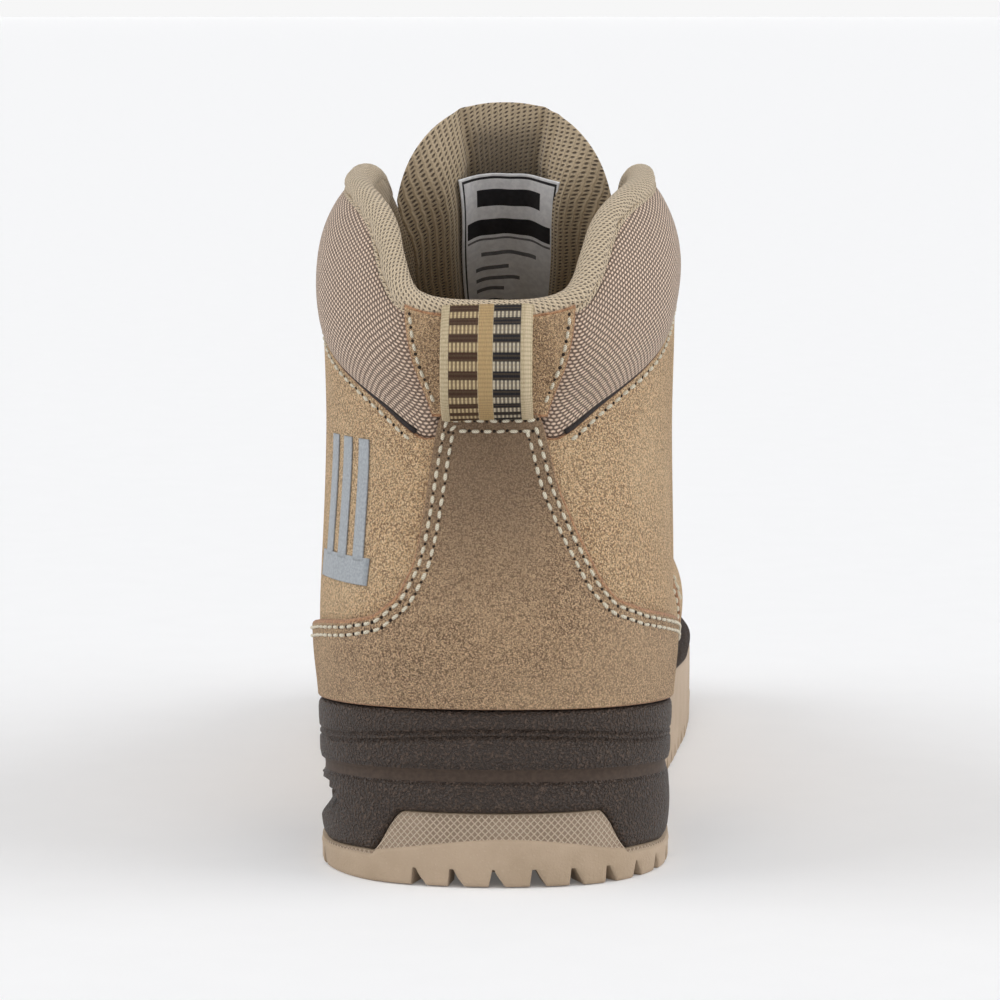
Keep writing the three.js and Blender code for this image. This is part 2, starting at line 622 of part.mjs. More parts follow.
// Strips along both sides of the throat that carry the lacing.
const eyestayFoot = steps([4.4, 0.8], [5, 0.72], [6, 0.7], [7, 0.72], [7.7, 0.8], [8.05, 0.9]);
SIDES.forEach(([side, way]) => {
  const [near, far] = [4.42, 8.05];
  add(`eyestay_${side}`, panel({
    from: way > 0 ? near : -far, to: way > 0 ? far : -near, lower: (s) => eyestayFoot(fromBack(s)),
    upper: 0.972, inner: 0.5, outer: OVERLAY, rows: 4,
    corners: [6.9 * way, 7.6 * way],
  }), 'counterSuede');
});

// A rubber guard round the toe, over the suede.
add('toe_bumper', panel({
  from: 8.3, to: 11.7, lower: 0, upper: (s) => 0.05 + 0.2 * Math.sqrt(Math.max(0, 1 - ((s - 10) / 1.72) ** 2)),
  inner: 0.5, outer: 2.4, rows: 3,
}), 'rubber');

// A plain reflective mark on the outer side: a foot line with three upright bars.
function sideMark() {
  const bars = [0, 1, 2].map((k) => {
    const s = -1.98 + 0.29 * k;
    return panelOf(s, s + 0.16, 0.34, 0.5, 0.1);
  });
  return joined(panelOf(-2.1, -1.15, 0.31, 0.345, 0), ...bars);
}
// A small patch on the outer side whose upper end is slanted by lean.
function panelOf(from, to, low, high, lean) {
  const place = (depth) => (u, v) => upperOffset(lerp(from, to, u) - lean * v, lerp(low, high, v), depth);
  return sheet({ nu: 2, nv: 3, outer: place(1), inner: place(0.5) });
}
add('side_mark', sideMark(), 'label');

// ---------------------------------------------------------------- pull loop
// A webbing strap standing off the backstay, from under the roll to the counter's top.
function pullLoop() {
  const half = 11;
  const profile = [[-144.7, 136.2], [-148, 135], [-151.6, 131], [-152.9, 125], [-152.2, 119.4],
    [-149.8, 116.2], [-146.4, 114.5]];
  const inside = [[-144.4, 134.4], [-147, 133.2], [-150, 130.2], [-151.2, 125], [-150.6, 120.2],
    [-148.8, 117.8], [-146, 116.4]];
  const edge = new THREE.Shape([...profile, ...inside.reverse()].map(([y, z]) => new THREE.Vector2(y, z)));
  const geometry = new THREE.ExtrudeGeometry(edge, { depth: 2 * half, bevelEnabled: false, steps: 4 });
  const swap = new THREE.Matrix4().makeBasis(
    new THREE.Vector3(0, 1, 0), new THREE.Vector3(0, 0, 1), new THREE.Vector3(1, 0, 0),
  );
  return geometry.applyMatrix4(swap).translate(-half - 2.6, 0, 0);
}
add('pull_loop', pullLoop(), 'webbing');

// ---------------------------------------------------------------- tongue
// Its centre line from the stitched base to the top, its half width and how far its sides wrap.
const TONGUE_LINE = new THREE.CatmullRomCurve3(
  [[55, 85], [34, 98], [10, 114], [-14, 132], [-31, 151], [-41, 169], [-46, 187]]
    .map(([y, z]) => new THREE.Vector3(0, y, z)),
);
const tongueHalf = through(9, 13, 16, 18, 20, 22.6, 24.6, 25.4, 28.6);
const tongueWrap = through(2, 2.5, 3, 4, 6, 9, 11, 12, 12);
// A point of the tongue: w from -1 (outer side) to 1, v up it, depth behind its front face.
function tonguePoint(w, v, depth) {
  const roundTop = Math.sqrt(1 - 0.92 * w * w);
  const place = v * lerp(1, roundTop * 0.2 + 0.8, smooth(0.5, 1, v));
  const at = TONGUE_LINE.getPointAt(place);
  const line = TONGUE_LINE.getTangentAt(place);
  const front = new THREE.Vector3(0, line.z, -line.y);
  const half = tongueHalf(v);
  const wrap = tongueWrap(v);
  const normal = front.clone().add(new THREE.Vector3((2 * wrap * w) / half, 0, 0)).normalize();
  at.x = half * w;
  return at.addScaledVector(front, -wrap * w * w).addScaledVector(normal, -depth);
}
// A piece of the tongue from w0 to w1 across and v0 to v1 up, between two depths.
function tonguePiece([w0, w1], [v0, v1], outer, inner, nu, nv) {
  const place = (depth) => (u, v) => {
    const w = lerp(w1, w0, u);
    return tonguePoint(w, lerp(v0, v1, v), number(depth, w, v));
  };
  return sheet({ nu, nv, outer: place(outer), inner: place(inner) });
}
const pad = (w) => 4.2 + 3 * smooth(0.3, 0.62, Math.abs(w)) * (1 - smooth(0.72, 1, Math.abs(w)));
const thinned = (w, v) => pad(w) * (0.35 + 0.65 * (1 - smooth(0.9, 1, v)));
add('tongue', tonguePiece([-1, 1], [0, 1], 0, thinned, 12, 12), 'knit');
add('tongue_label', tonguePiece([-0.47, 0.56], [0.6, 0.87], (w) => pad(w) + 0.5, (w) => pad(w) + 1.2, 8, 3), 'label');
add('tongue_patch', tonguePiece([-0.5, 0.5], [0.83, 0.96], -2, -0.6, 6, 2), 'suede');
const arch = (w) => -GAP - 5.2 * (1 - (w / 0.45) ** 4);
add('tongue_keeper', tonguePiece([-0.45, 0.45], [0.755, 0.8], (w) => arch(w) - 1.2, arch, 10, 1), 'webbing');

// ---------------------------------------------------------------- lacing
const LOOP_PLACES = [7.75, 7.15, 6.55, 5.95];
const HOOK_PLACES = [5.35, 4.8];

// Where a loop or hook on the given side holds the lace, with the directions there.
function holdFrame(way, place) {
  const { point, round } = upperFrame(way * place, 0.935);
  const up = upperPoint(way * place, 0.96).sub(upperPoint(way * place, 0.84));
  up.addScaledVector(round, -up.dot(round)).normalize();
  const normal = round.clone().cross(up).normalize();
  const seat = point.clone().addScaledVector(normal, OVERLAY + 2.5 * GAP);
  const centre = seat.clone().addScaledVector(normal, HOLD.outer);
  return { seat, centre, normal, up, toAnkle: round.clone().multiplyScalar(-way) };
}
const arc = (radius, from, to, count) => Array.from({ length: count + 1 }, (none, k) => {
  const angle = (Math.PI / 180) * lerp(from, to, k / count);
  return new THREE.Vector2(radius * Math.cos(angle), HOLD.outer + radius * Math.sin(angle));
});
// A profile standing across the lace, pulled out along it by the given length and set on its seat.
function standing(shape, length, { seat, normal, up }) {
  const geometry = new THREE.ExtrudeGeometry(shape, { depth: length, bevelEnabled: false, curveSegments: 8 });
  const sideways = up.clone().cross(normal).normalize();
  const upright = sideways.clone().cross(up).normalize();
  geometry.translate(0, 0, -length / 2);
  return geometry.applyMatrix4(new THREE.Matrix4().makeBasis(up, upright, sideways).setPosition(seat));
}
// A webbing loop: a tab stitched to the eyestay that runs into a tube round the lace.
function laceLoop(frame) {
  const [tab, thick] = [-9.5, 1.4];
  const shape = new THREE.Shape([
    new THREE.Vector2(tab, 0), ...arc(HOLD.outer, -90, 217, 10), new THREE.Vector2(tab, thick),
  ]);
  shape.holes.push(new THREE.Path(arc(HOLD.inner, 360, 36, 9)));
  return standing(shape, 5, frame);
}
// A steel hook: a riveted foot that curls over the lace and stays open away from the throat.
function laceHook(frame) {
  const foot = -6;
  const shape = new THREE.Shape([
    new THREE.Vector2(foot, 0), ...arc(HOLD.outer, -90, 130, 8), ...arc(HOLD.inner, 130, -90, 8),
    new THREE.Vector2(foot, HOLD.outer - HOLD.inner),
  ]);
  return standing(shape, 5, frame);
}
SIDES.forEach(([side, way]) => {
  LOOP_PLACES.forEach((place, k) => add(`lace_loop_${side}_${k + 1}`, laceLoop(holdFrame(way, place)), 'webbing'));
  HOOK_PLACES.forEach((place, k) => add(`lace_hook_${side}_${k + 1}`, laceHook(holdFrame(way, place)), 'darkSteel'));
});

// The lace crosses over between every pair of holds. One half starts up from the lowest loop of the
// outer side and the other from the inner side; lift keeps the two apart where they cross.
function laceHalf(way, lift) {
  const points = [];
  let before = null;
  [...LOOP_PLACES, ...HOOK_PLACES].forEach((place, k) => {
    const { centre, toAnkle } = holdFrame(k % 2 ? -way : way, place);
    const side = k % 2 ? -way : way;
    const [enter, leave] = [-4.6, 4.6].map((d) => centre.clone().addScaledVector(toAnkle, d));
    const [overIn, overOut] = [0.26, -0.26].map((d) => upperOffset(side * (place + d), 0.99, 5.8));
    if (before) {
      const middle = before.clone().add(overIn).multiplyScalar(0.5);
      points.push(middle.add(new THREE.Vector3(0, 0.6, 0.8).multiplyScalar(1 + lift)), overIn);
    }
    points.push(enter, centre, leave, overOut);
    before = overOut;
  });
  return points;
}
// Each end turns back down over the tongue and is tucked under the lacing.
const END_LIFT = LACE_RADIUS + 0.9;
const endOver = (side, v, lift = END_LIFT) => tonguePoint(side * 0.2, v, -lift);
const TUCK = [0.7, 0.67, 0.645, 0.62, 0.598];
const tucked = (side) => [
  tonguePoint(side * 0.6, 0.69, -7), endOver(side, TUCK[0], 4.8), ...TUCK.slice(1).map((v) => endOver(side, v)),
];
const lowest = holdFrame(1, LOOP_PLACES[0]).centre;
const bar = new THREE.Vector3(0, lowest.y + 7, lowest.z + 1);
const outerHalf = [...laceHalf(-1, 2.1), ...tucked(1)];
const innerHalf = [...laceHalf(1, -2.1), ...tucked(-1)];
add('lace', cord([...outerHalf.reverse(), bar, ...innerHalf], LACE_RADIUS, 2, 6), 'lace');

// The lace's hard tips, beyond its cut ends.
SIDES.forEach(([side, way]) => {
  const last = TUCK[TUCK.length - 1];
  const points = [0.014, 0.04, 0.065].map((d) => endOver(way, last - d));
  add(`aglet_${side}`, cord(points, LACE_RADIUS - 0.3, 1, 8), 'darkSteel');
});

export default boot;
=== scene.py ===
"""The looks of a left steel toe work boot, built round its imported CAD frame.

Lengths in this script are millimetres in the CAD frame (+Z up, toe towards +Y, inner side +X) until
a mesh is made, when they become metres. A place on the upper is (s, t): s runs round the boot, 0 at
the back of the heel, 10 at the toe, positive on the inner side; t runs from the sole to the top.
"""
import math
import bpy
import numpy as np
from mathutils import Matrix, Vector


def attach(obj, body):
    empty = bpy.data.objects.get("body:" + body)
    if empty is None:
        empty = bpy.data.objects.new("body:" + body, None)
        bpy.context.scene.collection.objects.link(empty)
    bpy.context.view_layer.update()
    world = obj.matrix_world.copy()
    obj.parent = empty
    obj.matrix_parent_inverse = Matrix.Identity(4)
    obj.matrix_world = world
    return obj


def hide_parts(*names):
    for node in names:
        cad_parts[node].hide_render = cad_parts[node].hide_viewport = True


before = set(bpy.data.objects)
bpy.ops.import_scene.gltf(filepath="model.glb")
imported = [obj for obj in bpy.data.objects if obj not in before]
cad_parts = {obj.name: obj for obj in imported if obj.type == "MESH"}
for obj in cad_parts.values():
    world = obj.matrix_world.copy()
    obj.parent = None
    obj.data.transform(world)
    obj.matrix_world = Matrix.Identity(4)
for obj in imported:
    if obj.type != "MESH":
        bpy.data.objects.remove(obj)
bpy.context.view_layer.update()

MM = 0.001
rng = np.random.default_rng(7)

# ---------------------------------------------------------------- curves


def catmull(a, b, c, d, f):
    """Catmull-Rom value a share f of the way from b to c."""
    return b + 0.5 * f * (c - a + f * (2 * a - 5 * b + 4 * c - d + f * (3 * (b - c) + d - a)))


def smooth(low, high, x):
    f = np.clip((np.asarray(x, float) - low) / (high - low), 0, 1)
    return f * f * (3 - 2 * f)


def lerp(a, b, f):
    return a + (b - a) * f


def through(*values):
    """A smooth line through values at even steps over 0 to 1."""
    table = np.array(values, float)
    last = len(table) - 1

    def line(u):
        x = np.clip(np.asarray(u, float), 0, 1) * last
        i = np.floor(x).astype(int)
        picks = [table[np.clip(i + k, 0, last)] for k in (-1, 0, 1, 2)]
        return catmull(*picks, x - i)

    return line


def steps(*pairs, soften=0.0):
    """Straight lines through (x, value) pairs, with the corners rounded over soften."""
    xs, ys = np.array(pairs, float).T
    offsets = np.linspace(-soften, soften, 9)

    def line(x):
        x = np.asarray(x, float)
        return np.mean([np.interp(x + d, xs, ys) for d in offsets], axis=0)

    return line


def unit(v):
    return v / np.maximum(np.linalg.norm(v, axis=-1, keepdims=True), 1e-12)


def arc_lengths(points):
    """Distance travelled at each point of a line."""
    return np.concatenate([[0], np.cumsum(np.linalg.norm(np.diff(points, axis=0), axis=1))])


def resample(points, count):
    """The same line with count points at even distances."""
    travelled = arc_lengths(points)
    wanted = np.linspace(0, travelled[-1], count)
    return np.stack([np.interp(wanted, travelled, points[:, k]) for k in range(points.shape[1])], axis=1)


def spline(points, per_span=8):
    """A smooth line through points, with chord-length (centripetal) spacing."""
    p = np.array(points, float)
    p = np.vstack([2 * p[0] - p[1], p, 2 * p[-1] - p[-2]])
    made = []
    for k in range(1, len(p) - 2):
        a, b, c, d = p[k - 1:k + 3]
        gaps = [math.sqrt(np.linalg.norm(step)) + 1e-9 for step in (b - a, c - b, d - c)]
        knots = np.cumsum([0.0, *gaps])
        for f in np.arange(per_span) / per_span:
            x = lerp(knots[1], knots[2], f)

            def between(i, j, left, right):
                return (left * (knots[j] - x) + right * (x - knots[i])) / (knots[j] - knots[i])

            ab, bc, cd = between(0, 1, a, b), between(1, 2, b, c), between(2, 3, c, d)
            made.append(between(1, 2, between(0, 2, ab, bc), between(1, 3, bc, cd)))
    made.append(p[-2])
    return np.array(made)


# ---------------------------------------------------------------- the last
# [half width, y, z] at eleven stations, heel to toe, on each of five rings. They are the CAD part's
# tables, with the foot up to 2.7 mm lower beside the heel and the collar's back edge 3 mm lower.
UPPER_RINGS = [
    [[0, -147.6, 44], [26.5, -140.6, 43.5], [40.6, -119.5, 41.8], [42.4, -88, 39], [39.4, -50, 35],
     [42, -8, 30], [47.2, 32, 25.6], [49.6, 66, 24.2], [46, 104, 27], [29.5, 136, 31], [0, 147, 33]],
    [[0, -150, 63], [27.5, -143, 63], [41.8, -121, 63], [44.1, -88, 62], [43.6, -50, 58],
     [44, -9, 50], [47.6, 31, 44], [49.6, 66, 41], [46.2, 104, 45], [29.8, 136.5, 50], [0, 148.5, 52]],
    [[0, -141.5, 107], [23.5, -135.5, 107], [38.6, -116, 107], [43.6, -87, 106], [41.6, -50, 98],
     [37.5, -12, 83], [36.5, 24, 71], [36.5, 60, 65], [33.5, 96, 67], [20.5, 124.5, 69], [0, 134, 70]],
    [[0, -142, 127], [24.5, -136.5, 129], [39, -116, 137], [43.6, -86, 145], [42, -51, 138],
     [36, -18, 118], [33, 16, 99], [29, 48, 84.5], [19.5, 74, 80], [9.5, 92, 79], [0, 98, 79]],
    [[0, -143, 141.7], [20.5, -137.5, 145.0], [28.4, -117, 163], [36.9, -88, 170], [35.6, -52, 170],
     [26.5, -21, 147], [21.5, 12, 119.5], [18, 43, 97.5], [11, 56, 90], [5.2, 60.5, 88], [0, 61.5, 87.6]],
]
SOLE_EDGE = [[0, -150], [28, -143.2], [43.4, -121], [44.2, -88], [41.2, -50], [43.8, -8],
             [49.8, 32], [52.6, 66], [49.4, 106], [32.5, 139], [0, 151]]
STATIONS = 20
CENTRE = np.array([3.52, 0.66, 0.0])
GAP = 0.3
LEATHER = 1.6
OVERLAY = LEATHER + GAP  # how far a second layer's outer face stands over the first one's
LINING_DEPTH = 8.6
TREAD = 4.3  # the depth of the outsole's notches
LUG_BAND = 9  # how far in the notches run
LUG_PITCH = 10.1
RIM = 3.4  # the outsole wall's thickness
FLOOR = 8  # the outsole's thickness inside its wall
LOWEST_WALL = 6
FEATHER_DROP = 11  # how far the midsole's floor lies under its top edge


def all_round(table):
    """The eleven rows of a table with the outer side mirrored: all twenty stations."""
    rows = np.array(table, float)
    mirror = rows[-2:0:-1].copy()
    mirror[:, 0] *= -1
    return np.vstack([rows, mirror])


RINGS = [all_round(ring) for ring in UPPER_RINGS]
BEFORE = 2 * RINGS[0] - RINGS[1]
AFTER = 2 * RINGS[-1] - RINGS[-2]
RINGS = np.stack([BEFORE, BEFORE, *RINGS, AFTER, AFTER])
EDGE = all_round(SOLE_EDGE)


def around(rows, s):
    """A row of twenty stations, or several rows, read smoothly at s."""
    i = np.floor(s).astype(int)
    picks = [rows[..., (i + k) % STATIONS, :] for k in (-1, 0, 1, 2)]
    return catmull(*picks, (s - i)[..., None])


def raw_point(s, t):
    s, t = np.broadcast_arrays(np.asarray(s, float), np.asarray(t, float))
    i = np.floor(s).astype(int)
    f = (s - i)[..., None]
    j = np.floor(t * 4).astype(int)
    g = (t * 4 - j)[..., None]
    rows = []
    for k in (-1, 0, 1, 2):
        ring = np.clip(j + k + 2, 0, len(RINGS) - 1)
        rows.append(catmull(*[RINGS[ring, (i + n) % STATIONS] for n in (-1, 0, 1, 2)], f))
    return catmull(*rows, g)


def from_back(s):
    return np.abs((np.asarray(s, float) + 30) % 20 - 10)


def raw_frame(s, t):
    """A point of the suede's outer face with the directions round, up and outwards."""
    e = 0.02
    along = unit(raw_point(s + e, t) - raw_point(s - e, t))
    up = unit(raw_point(s, t + e / 4) - raw_point(s, t - e / 4))
    return raw_point(s, t), along, up, unit(np.cross(along, up))


last_bend = through(0, 0, 0, -2.2, -4.3, -1.5, 5)


def bent(p):
    """The last's bend towards the inner side, and the move of the boot's middle over the origin."""
    p = np.asarray(p, float)
    x, y, z = p[..., 0], p[..., 1], p[..., 2]
    skew = 0.1 * smooth(-50, 40, y) * (1 - 0.7 * smooth(90, 150, y))
    return np.stack([x + last_bend((y + 150) / 300), y + skew * x, z], axis=-1) + CENTRE


def raw_upper(s, t, depth=0.0):
    point, _, _, normal = raw_frame(np.asarray(s, float), np.asarray(t, float))
    return point + normal * np.asarray(depth, float)[..., None]


def upper(s, t, depth=0.0):
    """A point over the suede's outer face by depth, where the boot stands."""
    return bent(raw_upper(s, t, depth))


def t_below(s, distance):
    """The t that lies a distance under the upper's top edge."""
    span = np.linalg.norm(raw_point(s, 1.0) - raw_point(s, 0.75), axis=-1)
    return 1 - 0.25 * distance / span


def sole_point(s, inset):
    """The sole's edge in plan, moved inwards."""
    e = 0.02
    here = around(EDGE, s)
    way = unit(around(EDGE, s + e) - around(EDGE, s - e))
    inset = np.asarray(inset, float)
    return np.stack([here[..., 0] - inset * way[..., 1], here[..., 1] + inset * way[..., 0]], axis=-1)


def sole_bottom(y):
    bevel = 0.3 * (1 - smooth(-150, -138, y))
    waist = 3.2 * smooth(-68, -40, y) * (1 - smooth(-30, 4, y))
    return bevel + waist + 11 * np.maximum(0, (y - 72) / 79) ** 1.8


def sole_top(s):
    return around(RINGS[2], s)[..., 2] - 1.5 * GAP


TAB_CENTRE = 0.13


def wall_top(s):
    """The top of the outsole's wall: a tab at the back, low beside it, full height from the waist."""
    away = from_back(s - TAB_CENTRE)
    tab = lerp(18.2, 7.6, smooth(0.86, 1.26, away))
    heel = np.where(away < 1.3, tab, lerp(7.6, 6.6, smooth(1.3, 2.1, away)))
    return lerp(heel, sole_top(s), smooth(3.3, 5, away))


# ---------------------------------------------------------------- making meshes


def make(name, points, faces, materials, uvs=None, picks=None, flat=False):
    """A mesh object from points in millimetres. uvs are per point, picks a material per face."""
    mesh = bpy.data.meshes.new(name)
    mesh.from_pydata((np.asarray(points, float) * MM).tolist(), [], [list(map(int, f)) for f in faces])
    for material in materials:
        mesh.materials.append(material)
    if picks is not None:
        mesh.polygons.foreach_set("material_index", np.asarray(picks, np.int32))
    if uvs is not None:
        layer = mesh.uv_layers.new(name="UVMap")
        corner = np.zeros(len(mesh.loops), np.int32)
        mesh.loops.foreach_get("vertex_index", corner)
        layer.data.foreach_set("uv", np.asarray(uvs, np.float32)[corner].ravel())
    mesh.polygons.foreach_set("use_smooth", np.full(len(mesh.polygons), not flat))
    mesh.update()
    obj = bpy.data.objects.new(name, mesh)
    bpy.context.scene.collection.objects.link(obj)
    return obj


def grid_faces(nu, nv, start=0, wrap=False, flip=False):
    """Quads of a grid of nu by nv points, counted with v fastest."""
    i = np.arange(nu if wrap else nu - 1)
    j = np.arange(nv - 1)
    i, j = np.meshgrid(i, j, indexing="ij")
    i, j = i.ravel(), j.ravel()
    n = (i + 1) % nu
    quads = np.stack([i * nv + j, n * nv + j, n * nv + j + 1, i * nv + j + 1], axis=1) + start
    return quads[:, ::-1] if flip else quads


class Soup:
    """Points, faces, UVs and material picks gathered for one mesh object."""

    def __init__(self):
        self.points, self.faces, self.uvs, self.picks, self.count = [], [], [], [], 0

    def add(self, points, faces, pick=0, uvs=None):
        points = np.asarray(points, float).reshape(-1, 3)
        faces = [np.asarray(f) + self.count for f in faces]
        self.points.append(points)
        self.faces += faces
        self.uvs.append(np.zeros((len(points), 2)) if uvs is None else np.asarray(uvs, float).reshape(-1, 2))
        self.picks += list(pick) if hasattr(pick, "__len__") else [pick] * len(faces)
        self.count += len(points)

    def make(self, name, materials, flat=False):
        return make(name, np.concatenate(self.points), self.faces, materials,
                    np.concatenate(self.uvs), self.picks, flat)


def sheet_faces(nu, nv, wrap=False):
    """Faces of a closed sheet between two grids: the front, the back and the walls of its rim."""
    count = nu * nv
    last = count - nv
    walls = []
    for i in range(nu if wrap else nu - 1):
        low, high = i * nv, (i + 1) % nu * nv
        top, next_top = low + nv - 1, high + nv - 1
        walls.append([low, low + count, high + count, high])
        walls.append([top, next_top, next_top + count, top + count])
    for j in range(0 if wrap else nv - 1):
        walls.append([j, j + 1, j + 1 + count, j + count])
        walls.append([last + j, last + j + count, last + j + 1 + count, last + j + 1])
    back = grid_faces(nu, nv, start=count, wrap=wrap, flip=True)
    return grid_faces(nu, nv, wrap=wrap).tolist(), back.tolist(), walls


def slab(name, outer, inner, uv, materials, wrap=False, rim_rows=2, pick=None):
    """A closed sheet between two grids of points (nu, nv, 3). The rim takes the last material."""
    nu, nv = outer.shape[:2]
    front, back, walls = sheet_faces(nu, nv, wrap)
    rim = len(materials) - 1
    i, j = np.meshgrid(np.arange(nu if wrap else nu - 1), np.arange(nv - 1), indexing="ij")
    edge = (j < rim_rows) | (j >= nv - 1 - rim_rows)
    if not wrap:
        edge |= (i < rim_rows) | (i >= nu - 1 - rim_rows)
    picks_front = np.where(edge.ravel(), rim, 0 if pick is None else pick(i, j).ravel())
    points = np.concatenate([outer.reshape(-1, 3), inner.reshape(-1, 3)])
    uvs = np.concatenate([uv.reshape(-1, 2), uv.reshape(-1, 2)])
    picks = [*picks_front.tolist(), *([0] * len(back)), *([rim] * len(walls))]
    return make(name, points, [*front, *back, *walls], materials, uvs, picks)


RIM_STEPS = np.array([0, 0.22, 0.6])  # distances from a cut edge
RIM_DIPS = np.array([0.7, 0.22, 0])  # how far the face dips there
COARSE, FINE = 41, 1601  # samples along a panel for its sizes, and along its edges
MOST_SLOPE = 7  # the steepest edge, as a multiple of the panel's own run, that still gets its full rim
SHORTEST = 2.2  # the height from which a panel's rim rows keep their distances


def fit(count, low, high):
    """Parameters over 0 to 1 whose first and last ones keep the rim's distances."""
    middle = np.linspace(0, 1, count)[None, :]
    low, high = low[:, None], high[:, None]
    body = low * RIM_STEPS[-1] + middle * (1 - (low + high) * RIM_STEPS[-1])
    return np.concatenate([low * RIM_STEPS[:-1], body, 1 - high * RIM_STEPS[-2::-1]], axis=1)


def surface_grid(place, step):
    """Rows of (u, v) over a panel with close rows along its rim, and the dip of each point there."""
    coarse = np.linspace(0, 1, COARSE)
    u, v = np.meshgrid(coarse, coarse, indexing="ij")
    points = raw_upper(*place(u, v))
    tall = np.linalg.norm(np.diff(points, axis=1), axis=-1).sum(1)
    fine = np.linspace(0, 1, FINE)
    edges = [raw_upper(*place(fine, np.full(fine.shape, end))) for end in (0.0, 1.0)]
    moves = [np.linalg.norm(np.diff(edge, axis=0), axis=1) for edge in edges]
    travelled = np.concatenate([[0], np.cumsum(np.maximum(*moves))])
    nu = max(6, int(travelled[-1] / step))
    nv = max(5, int(np.max(tall) / step))
    rim = RIM_STEPS / travelled[-1]
    shares = np.concatenate([rim[:-1], np.linspace(rim[-1], 1 - rim[-1], nu), 1 - rim[-2::-1]])
    columns = np.interp(shares, travelled / travelled[-1], fine)
    height = np.maximum(np.interp(columns, coarse, tall), SHORTEST)
    middle = np.linalg.norm(np.diff(raw_upper(*place(fine, np.full(fine.shape, 0.5))), axis=0), axis=1)
    middle = np.maximum(middle, 1e-6)
    slopes = [np.interp(columns, fine[1:], np.minimum(move / middle, MOST_SLOPE)) for move in moves]
    low, high = [np.minimum(np.maximum(slope, 1) / height, 0.2 / RIM_STEPS[-1]) for slope in slopes]
    v = fit(nv, low, high)
    u = np.broadcast_to(columns[:, None], v.shape)
    edge = len(RIM_DIPS) - 1
    dip_u = np.zeros(len(columns))
    dip_v = np.zeros(v.shape[1])
    for dip in (dip_u, dip_v):
        dip[:edge] = RIM_DIPS[:edge]
        dip[-edge:] = RIM_DIPS[:edge][::-1]
    return u, v, np.maximum(dip_u[:, None], dip_v[None, :])


def lengths_uv(points):
    """UVs in millimetres: distance along the middle row, and along each column from its start."""
    across = np.linalg.norm(np.diff(points, axis=0), axis=-1)
    middle = across[:, across.shape[1] // 2]
    u = np.concatenate([[0], np.cumsum(middle)])
    tall = np.linalg.norm(np.diff(points, axis=1), axis=-1)
    v = np.concatenate([np.zeros((points.shape[0], 1)), np.cumsum(tall, axis=1)], axis=1)
    return np.stack([np.broadcast_to(u[:, None], v.shape), v], axis=-1)


def panel(name, place, outer, inner, materials, step=1.7, dip=1.0):
    """A piece of the upper with a rounded cut edge. place(u, v) gives its (s, t)."""
    u, v, dips = surface_grid(place, step)
    s, t = place(u, v)
    top = (outer(u, v) if callable(outer) else np.full(u.shape, outer)) - dips * dip
    under = inner(u, v) if callable(inner) else np.full(u.shape, inner)
    points = raw_upper(s, t, top)
    return slab(name, bent(points), upper(s, t, under), lengths_uv(points), materials)


def between(near, far, lower, top):
    """The place function of a panel from s near to far, between two lines of t."""
    def place(u, v):
        s = lerp(near, far, u)
        return s, lerp(lower(s), top(s), v)
    return place


def tube(soup, line, radius, sides=8):
    """Adds a round bar along a line, closed at both ends, with UVs in millimetres."""
    line = np.asarray(line, float)
    ahead = unit(np.gradient(line, axis=0))
    across = np.array([1.0, 0.2, 0.1])
    travelled = arc_lengths(line)
    radius = np.broadcast_to(radius, len(line))
    angles = np.linspace(0, 2 * np.pi, sides + 1)
    rings, uvs = [], []
    for centre, way, r, far in zip(line, ahead, radius, travelled):
        across = unit(across - way * across.dot(way))
        over = np.cross(way, across)
        rings.append(centre + r * (np.cos(angles)[:, None] * across + np.sin(angles)[:, None] * over))
        uvs.append(np.stack([np.full(sides + 1, far), angles * r], axis=1))
    faces = grid_faces(len(line), sides + 1, flip=True).tolist()
    points = np.vstack([*rings, line[:1], line[-1:]])
    last = (len(line) - 1) * (sides + 1)
    head, tail = len(points) - 2, len(points) - 1
    for k in range(sides):
        faces.append([k, head, k + 1])
        faces.append([last + k, last + k + 1, tail])
    soup.add(points, faces, 0, np.vstack([*uvs, [[0, 0], [0, 0]]]))


def strap(soup, line, across, width, thick, sides, ribs=None):
    """Adds a flat band along a line: across is its width's direction, ribs(distance) thickens it."""
    line = np.asarray(line, float)
    ahead = unit(np.gradient(line, axis=0))
    across = unit(np.broadcast_to(np.asarray(across, float), line.shape))
    across = unit(across - ahead * np.sum(across * ahead, axis=1)[:, None])
    over = np.cross(ahead, across)
    travelled = arc_lengths(line)
    w = np.linspace(-1, 1, 2 * sides + 1)
    half = np.sqrt(np.clip(1 - w ** 10, 0, 1)) * 0.92 + 0.08
    w = np.concatenate([w, w[::-1]])
    h = np.concatenate([half, -half[::-1]])
    extra = np.zeros(len(line)) if ribs is None else ribs(travelled)
    tall = thick / 2 + extra[:, None] * (h > 0)
    points = (line[:, None] + across[:, None] * (w * width / 2)[None, :, None]
              + over[:, None] * (h[None, :] * tall)[..., None])
    ring = len(w)
    loop = np.concatenate([np.arange(ring), [0]])
    points = points[:, loop]
    uvs = np.stack([np.broadcast_to((w[loop] * width / 2)[None], points.shape[:2]),
                    np.broadcast_to(travelled[:, None], points.shape[:2])], axis=-1)
    faces = grid_faces(len(line), ring + 1).tolist()
    last = (len(line) - 1) * (ring + 1)
    faces.append(list(range(ring))[::-1])
    faces.append([last + k for k in range(ring)])
    soup.add(points, faces, 0, uvs)


def show(obj, nodes, body="boot"):
    """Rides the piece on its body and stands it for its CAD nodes."""
    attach(obj, body)
    if nodes:
        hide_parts(*([nodes] if isinstance(nodes, str) else nodes))
    return obj


# ---------------------------------------------------------------- materials


